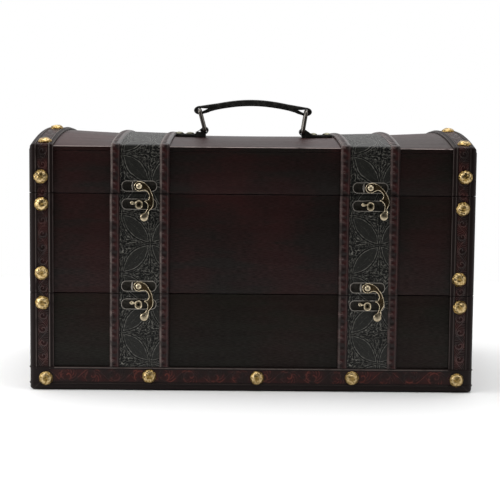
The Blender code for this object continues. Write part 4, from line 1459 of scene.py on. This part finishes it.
class GIFTBOX_OT_latches(bpy.types.Operator):
    """Bronze plates, brass knobs and rivets, and the swinging hooks"""

    bl_idname = "gift_box.latches"
    bl_label = "Latches"

    def execute(self, context):
        for word, swing in hook_swings.items():
            pin = pivot(word + "_hook_pivot")
            upper, lower = ("lid", "tier") if word.startswith("upper") else ("tier", "tray")
            self.hook_plate(word, (pin.x, pin.z), upper)
            self.catch(word, (pin.x, pin.z - catch_below_pivot), lower)
            self.hook(word, (pin.x, pin.z), math.radians(swing))
        return {"FINISHED"}

    def cut(self, outlines, front, back, bevel, **options):
        """A flat piece between two distances out from the front boards."""
        return cut_piece(outlines, -case_half_depth - front, -case_half_depth - back, bevel, **options)

    def plate(self, place):
        outline = rounded_outline(plate_length, plate_height, plate_corner_radius, place)
        return self.cut([outline], plate_front, plate_back, plate_rounding, rim=plate_rim)

    def hook_plate(self, word, place, body):
        shape = self.plate(place)
        collar = self.cut([crescent_outline(place, collar_radius, collar_thickness, collar_spread)],
                          plate_front + collar_height, plate_front - sunk_in_plate, collar_rounding)
        append(shape, mark_brightness(collar, 1.0))
        add_piece(word + "_hook_plate_bronze", shape, "aged_bronze", body, word + "_hook_plate")
        x, z = place
        rivet = turned(rivet_outline, (x, -case_half_depth - hook_front, z), (0, -1, 0), 28)
        mark_brightness(rivet, lambda point: min(0.8, max(0.3, math.hypot(point.x - x, point.z - z) * 900 - 0.7)))
        add_piece(word + "_rivet", rivet, "hook_brass", body)

    def catch(self, word, place, body):
        """A plate, and on it a hollow knob on its neck with a small pierced drop beside it."""
        add_piece(word + "_catch_bronze", self.plate(place), "aged_bronze", body, word + "_catch")
        x, z = place
        knob = mark_brightness(turned(knob_neck_outline, (x, -case_half_depth - plate_front, z), (0, -1, 0), 20), 0.2)

        def inside(wall, round_share):
            return rounded_outline(knob_width - 2 * wall, knob_height - 2 * wall,
                                   knob_width * round_share, place)

        ring = self.cut([inside(0, 0.44), inside(knob_wall, 0.32)], hardware_reach, knob_head_back,
                        knob_rounding)
        append(knob, mark_brightness(ring, 0.8))
        floor = self.cut([inside(0.7 * knob_wall, 0.38)], hardware_reach - knob_floor_drop,
                         knob_head_back + knob_floor_rounding, knob_floor_rounding)
        append(knob, mark_brightness(floor, 0.15))
        centre = (x + drop_place[0], z + drop_place[1])
        outlines = [teardrop_outline(drop_radius, centre, (x + drop_tip[0], z + drop_tip[1])),
                    circle_outline(drop_bore_radius, centre, 14)]
        drop = self.cut(outlines, plate_front + drop_height, plate_front - sunk_in_plate, knob_rounding)
        append(knob, mark_brightness(drop, 0.9))
        add_piece(word + "_catch_knob", knob, "hook_brass", body)

    def hook(self, word, place, swing):
        outline = [(across * hook_reach, down * hook_drop) for across, down in hook_outline_shares]
        shape = self.cut([outline, circle_outline(hook_bore_radius)], hook_front, hook_back, hook_rounding,
                         rim=hook_rim, rounded=True, swing=swing, place=place)
        append(shape, self.ball(swing, place))
        add_piece(word + "_hook_brass", shape, "hook_brass", word + "_hook", word + "_hook")

    def ball(self, swing, place):
        """The drop-shaped ball at the hook's tip."""
        shape = bmesh.new()
        bmesh.ops.create_uvsphere(shape, u_segments=24, v_segments=16, radius=ball_radius)
        for vertex in shape.verts:
            toward = max(0.0, vertex.co.dot(ball_neck) / ball_radius)
            vertex.co += ball_neck * toward ** 4 * ball_radius * ball_neck_share
            vertex.co.y *= ball_flatness
        mark_brightness(shape, lambda point: min(1.0, 0.25 + 0.6 * (point.x ** 2 + point.z ** 2) / ball_radius ** 2))
        across, down = hook_ball_place_shares
        middle = -case_half_depth - (hook_front + hook_back) / 2 - ball_stands_out
        bmesh.ops.translate(shape, vec=(across * hook_reach, middle, down * hook_drop), verts=shape.verts)
        swing_about(shape, swing, place)
        return shape


# Hinges

screw_beside = 0.0095
screw_from_seam = 0.0105
screw_outline = ((0, -0.0002), (0.0022, -0.0002), (0.0022, 0.0003), (0.0018, 0.0007), (0.001, 0.0009),
                 (0, 0.00095))


class GIFTBOX_OT_hinges(bpy.types.Operator):
    """Bronze finish and screws on the back hinges"""

    bl_idname = "gift_box.hinges"
    bl_label = "Hinges"

    def execute(self, context):
        hinges = (("lower", "tray", "tier"), ("upper", "tier", "lid"))
        screws = {"tray": bmesh.new(), "tier": bmesh.new(), "lid": bmesh.new()}
        for word, below, above in hinges:
            seam = pivot(above + "_hinge").z
            for side in strap_sides:
                x = strap_centre(side)
                for level, way in ((below, -1), (above, 1)):
                    dress(word + "_" + side + "_hinge_" + level + "_leaf", "aged_bronze")
                    for across in (-screw_beside, screw_beside):
                        place = (x + across, case_half_depth + plate_front, seam + way * screw_from_seam)
                        append(screws[level], turned(screw_outline, place, (0, 1, 0), 20))
        for level, shape in screws.items():
            add_piece(level + "_hinge_screws", shape, "aged_bronze", level)
        return {"FINISHED"}


# Handle

tab_rounding = 0.0003
tab_from_border = 0.0006
tab_bend_past_foot = 0.0008
tab_loop_start = math.radians(-78)
tab_shoulder = 0.0028
tab_fold = 0.0098
tab_fold_taper = 0.002
tab_fold_lift = 0.0003
tab_gap_radius = 0.0011
tab_gap_place = (0.005, -0.0008)
tab_gap_tip = (0.0095, -0.0019)
bore_radius = wire_radius + seat_gap
grip_rounding = 0.0007
grip_slot = (0.0082, 0.0017)
grip_doubled = 0.0004
stitched_share = 0.84
stitch_from_edge = 0.0014
stitch_radii = (0.00028, 0.0003)
stitch_lift = 0.00005


class GIFTBOX_OT_handle(bpy.types.Operator):
    """The stitched grip, its wire rings and the two folded tabs"""

    bl_idname = "gift_box.handle"
    bl_label = "Handle"

    def execute(self, context):
        feet = {"left": pivot("left_ring_pivot"), "right": pivot("right_ring_pivot")}
        tops = {}
        for side, flip in (("left", -1), ("right", 1)):
            lean = math.radians(ring_leans[side])
            tops[side] = feet[side] + ring_height * Vector((math.sin(lean), 0, math.cos(lean)))
            self.ring(side, feet[side], lean)
            self.tab(side, flip, feet[side])
        self.grip(tops["left"], tops["right"])
        return {"FINISHED"}

    def ring(self, side, foot, lean):
        path = rounded_outline(2 * ring_half_width, ring_height, ring_corner_radius, (0, ring_height / 2), 7)
        stations = []
        for number, (y, z) in enumerate(path + path[:1]):
            ahead = Vector(path[(number + 1) % len(path)]) - Vector(path[number - 1])
            out = Vector((0, ahead.y, -ahead.x)).normalized()

            def place(across, offset, y=y, z=z, out=out):
                return Vector((offset, y, z)) + out * across
            stations.append((place, number * wire_step))
        circle = [(across, offset, across) for across, offset in circle_outline(wire_radius, steps=14)]
        shape = sweep(circle + circle[:1], stations)
        bmesh.ops.rotate(shape, cent=(0, 0, 0), matrix=Matrix.Rotation(lean, 3, "Y"), verts=shape.verts)
        bmesh.ops.translate(shape, vec=foot, verts=shape.verts)
        mark_brightness(shape, 0.4)
        node = "handle_" + side + "_ring"
        add_piece(node + "_wire", shape, "aged_bronze", side + "_ring", node)

    def tab(self, side, flip, foot):
        """A strip on the crest, folded round the foot of the ring and back down on itself."""
        start = leather_centre(side) - flip * (strip_half_width + border_width + tab_from_border)
        bend = foot.x - flip * tab_bend_past_foot
        along = [start + (bend - start) * step / 8 for step in range(9)]
        outline = [(x, lid_surface(x, 0) + seat_gap) for x in along]
        outline += arc((foot.x, foot.z), (-flip * tab_loop_radius, tab_loop_radius), tab_loop_start,
                       math.pi / 2, 13)
        fold = foot.x + flip * tab_fold
        rest = lid_surface(fold, 0) + seat_gap + tab_thickness
        outline += [(foot.x + flip * tab_shoulder, foot.z + tab_loop_radius * 0.8),
                    (fold, rest + tab_fold_lift), (fold + flip * tab_fold_taper, rest),
                    (start, lid_surface(start, 0) + seat_gap + tab_thickness)]
        outlines = [outline, circle_outline(bore_radius, (foot.x, foot.z))]
        if side == "left":
            gap, tip = [(foot.x + flip * x, foot.z + z) for x, z in (tab_gap_place, tab_gap_tip)]
            outlines.append(teardrop_outline(tab_gap_radius, gap, tip))
        shape = cut_piece(outlines, -tab_width / 2, tab_width / 2, tab_rounding)
        node = "handle_" + side + "_tab"
        add_piece(node + "_leather", shape, "grip_leather", "lid", node)

    def grip_line(self, left, right, share):
        """Middle of the grip and half its thickness at a share of its length."""
        arch = math.sin(math.pi * share)
        base = left.lerp(right, share)
        half = grip_loop_radius + (grip_thickness / 2 - grip_loop_radius) * min(1.0, arch * 2)
        return Vector((base.x, base.z + grip_rise * arch)), half

    def grip(self, left, right):
        upper = []
        lower = []
        steps = 48
        for step in range(1, steps):
            middle, half = self.grip_line(left, right, step / steps)
            doubled = grip_doubled if min(step, steps - step) < 5 else 0.0
            upper.append((middle.x, middle.y + half))
            lower.append((middle.x, middle.y - half - doubled))
        radii = (grip_end_reach, grip_loop_radius)
        outline = arc((left.x, left.z), radii, 3 * math.pi / 2, math.pi / 2, 12) + upper
        outline += arc((right.x, right.z), radii, math.pi / 2, -math.pi / 2, 12) + lower[::-1]
        holes = [teardrop_outline(bore_radius, (end.x, end.z),
                                  (end.x + inward * grip_slot[0], end.z + grip_slot[1]))
                 for end, inward in ((left, 1), (right, -1))]
        shape = cut_piece([outline] + holes, -grip_width / 2, grip_width / 2, grip_rounding)
        add_piece("handle_grip_leather", shape, "grip_leather", "grip", "handle_grip")
        self.stitches(left, right)

    def stitches(self, left, right):
        sizes, _ = settings()
        shape = bmesh.new()
        count = round((right - left).length * stitched_share / sizes.stitch_pitch)
        for number in range(count):
            share = (1 - stitched_share) / 2 + stitched_share * (number + 0.5) / count
            middle, half = self.grip_line(left, right, share)
            ahead, _ = self.grip_line(left, right, share + 0.01)
            slope = math.atan2(ahead.y - middle.y, ahead.x - middle.x)
            for side in (-1, 1):
                part = bmesh.new()
                bmesh.ops.create_uvsphere(part, u_segments=6, v_segments=5, radius=1)
                bmesh.ops.scale(part, vec=(sizes.stitch_pitch * 0.36, *stitch_radii), verts=part.verts)
                swing_about(part, slope, (middle.x, middle.y - half + stitch_from_edge))
                face = side * (grip_width / 2 + stitch_lift)
                bmesh.ops.translate(part, vec=(0, face, 0), verts=part.verts)
                append(shape, part)
        add_piece("handle_grip_stitches", shape, "thread", "grip")


# Stage

camera_place = (-0.0124845, -1.562028, 0.287461)
camera_pitch = math.radians(6.26459)
camera_yaw = math.radians(0.41237)
camera_roll = math.radians(0.53632)
camera_lens = 114.36
camera_sensor = 36
soft_lights = (
    ("left_softbox", (-1.15, -0.32, 0.55), 0.65, 8.4),
    ("right_softbox", (2.1, -0.9, 0.9), 1.0, 8),
)
light_aim = Vector((0, 0, 0.13))
overhead_strength = 2.2
overhead_spread = math.radians(60)
floor_radius = 0.75
sky_seen = 1.0
sky_bright = 0.85
sky_dark = 0.03


class GIFTBOX_OT_stage(bpy.types.Operator):
    """A pale floor, soft studio light and the camera"""

    bl_idname = "gift_box.stage"
    bl_label = "Stage"

    def execute(self, context):
        scene = context.scene
        scene.view_settings.view_transform = "Standard"
        self.floor()
        self.sky(scene)
        self.overhead()
        for name, place, size, power in soft_lights:
            self.softbox(name, Vector(place), size, power)
        self.camera(scene)
        return {"FINISHED"}

    def floor(self):
        shape = bmesh.new()
        bmesh.ops.create_circle(shape, cap_ends=True, segments=96, radius=floor_radius)
        mesh_object("studio_floor", shape, "floor")

    def sky(self, scene):
        """White where it is seen, and darker towards the front where only the box sees it."""
        sky = Finish("studio_sky", "worlds", "Background")
        _, depth, _ = sky.axes(sky.node("ShaderNodeTexCoord", {}, {}, "Generated"))
        light = depth.rises(-0.6, 0.6) * (sky_bright - sky_dark) + sky_dark
        seen = sky.node("ShaderNodeLightPath", {}, {}, "Is Camera Ray")
        scene.world = sky.shade({"Color": (1, 1, 1, 1), "Strength": sky.blend(seen, light, sky_seen)})

    def overhead(self):
        light = bpy.data.lights.new("overhead", "SUN")
        light.energy = overhead_strength
        light.angle = overhead_spread
        add_object("overhead", light)

    def softbox(self, name, place, size, power):
        light = bpy.data.lights.new(name, "AREA")
        light.size = size
        light.energy = power
        lamp = add_object(name, light)
        lamp.location = place
        lamp.rotation_euler = (light_aim - place).to_track_quat("-Z", "Y").to_euler()

    def camera(self, scene):
        lens = bpy.data.cameras.new("studio_camera")
        lens.sensor_width = camera_sensor
        lens.lens = camera_lens
        camera = add_object("studio_camera", lens)
        camera.matrix_world = (Matrix.Translation(camera_place)
                               @ Matrix.Rotation(-camera_yaw, 4, "Z")
                               @ Matrix.Rotation(math.pi / 2 - camera_pitch, 4, "X")
                               @ Matrix.Rotation(camera_roll, 4, "Z"))
        scene.camera = camera


# Sidebar

dressing_steps = (GIFTBOX_OT_wood, GIFTBOX_OT_lining, GIFTBOX_OT_straps, GIFTBOX_OT_bands, GIFTBOX_OT_studs,
                  GIFTBOX_OT_latches, GIFTBOX_OT_hinges, GIFTBOX_OT_handle, GIFTBOX_OT_stage)


class GIFTBOX_PT_dressing(bpy.types.Panel):
    """Sizes, colours and steps of the dressing"""

    bl_idname = "GIFTBOX_PT_dressing"
    bl_label = "Gift Box"
    bl_space_type = "VIEW_3D"
    bl_region_type = "UI"
    bl_category = "Gift Box"

    def draw(self, context):
        for step in dressing_steps:
            self.layout.operator(step.bl_idname)
        for group in settings():
            box = self.layout.box()
            for name in group.bl_rna.properties.keys():
                if name not in ("rna_type", "name"):
                    box.prop(group, name)


registered = (GiftBoxSizes, GiftBoxColours) + dressing_steps + (GIFTBOX_PT_dressing,)


def register():
    for entry in registered:
        bpy.utils.register_class(entry)
    bpy.types.Scene.gift_box_sizes = bpy.props.PointerProperty(type=GiftBoxSizes)
    bpy.types.Scene.gift_box_colours = bpy.props.PointerProperty(type=GiftBoxColours)


def unregister():
    del bpy.types.Scene.gift_box_colours
    del bpy.types.Scene.gift_box_sizes
    for entry in reversed(registered):
        bpy.utils.unregister_class(entry)


def main():
    register()
    for step in dressing_steps:
        group, name = step.bl_idname.split(".")
        getattr(getattr(bpy.ops, group), name)()


if __name__ == "__main__":
    main()
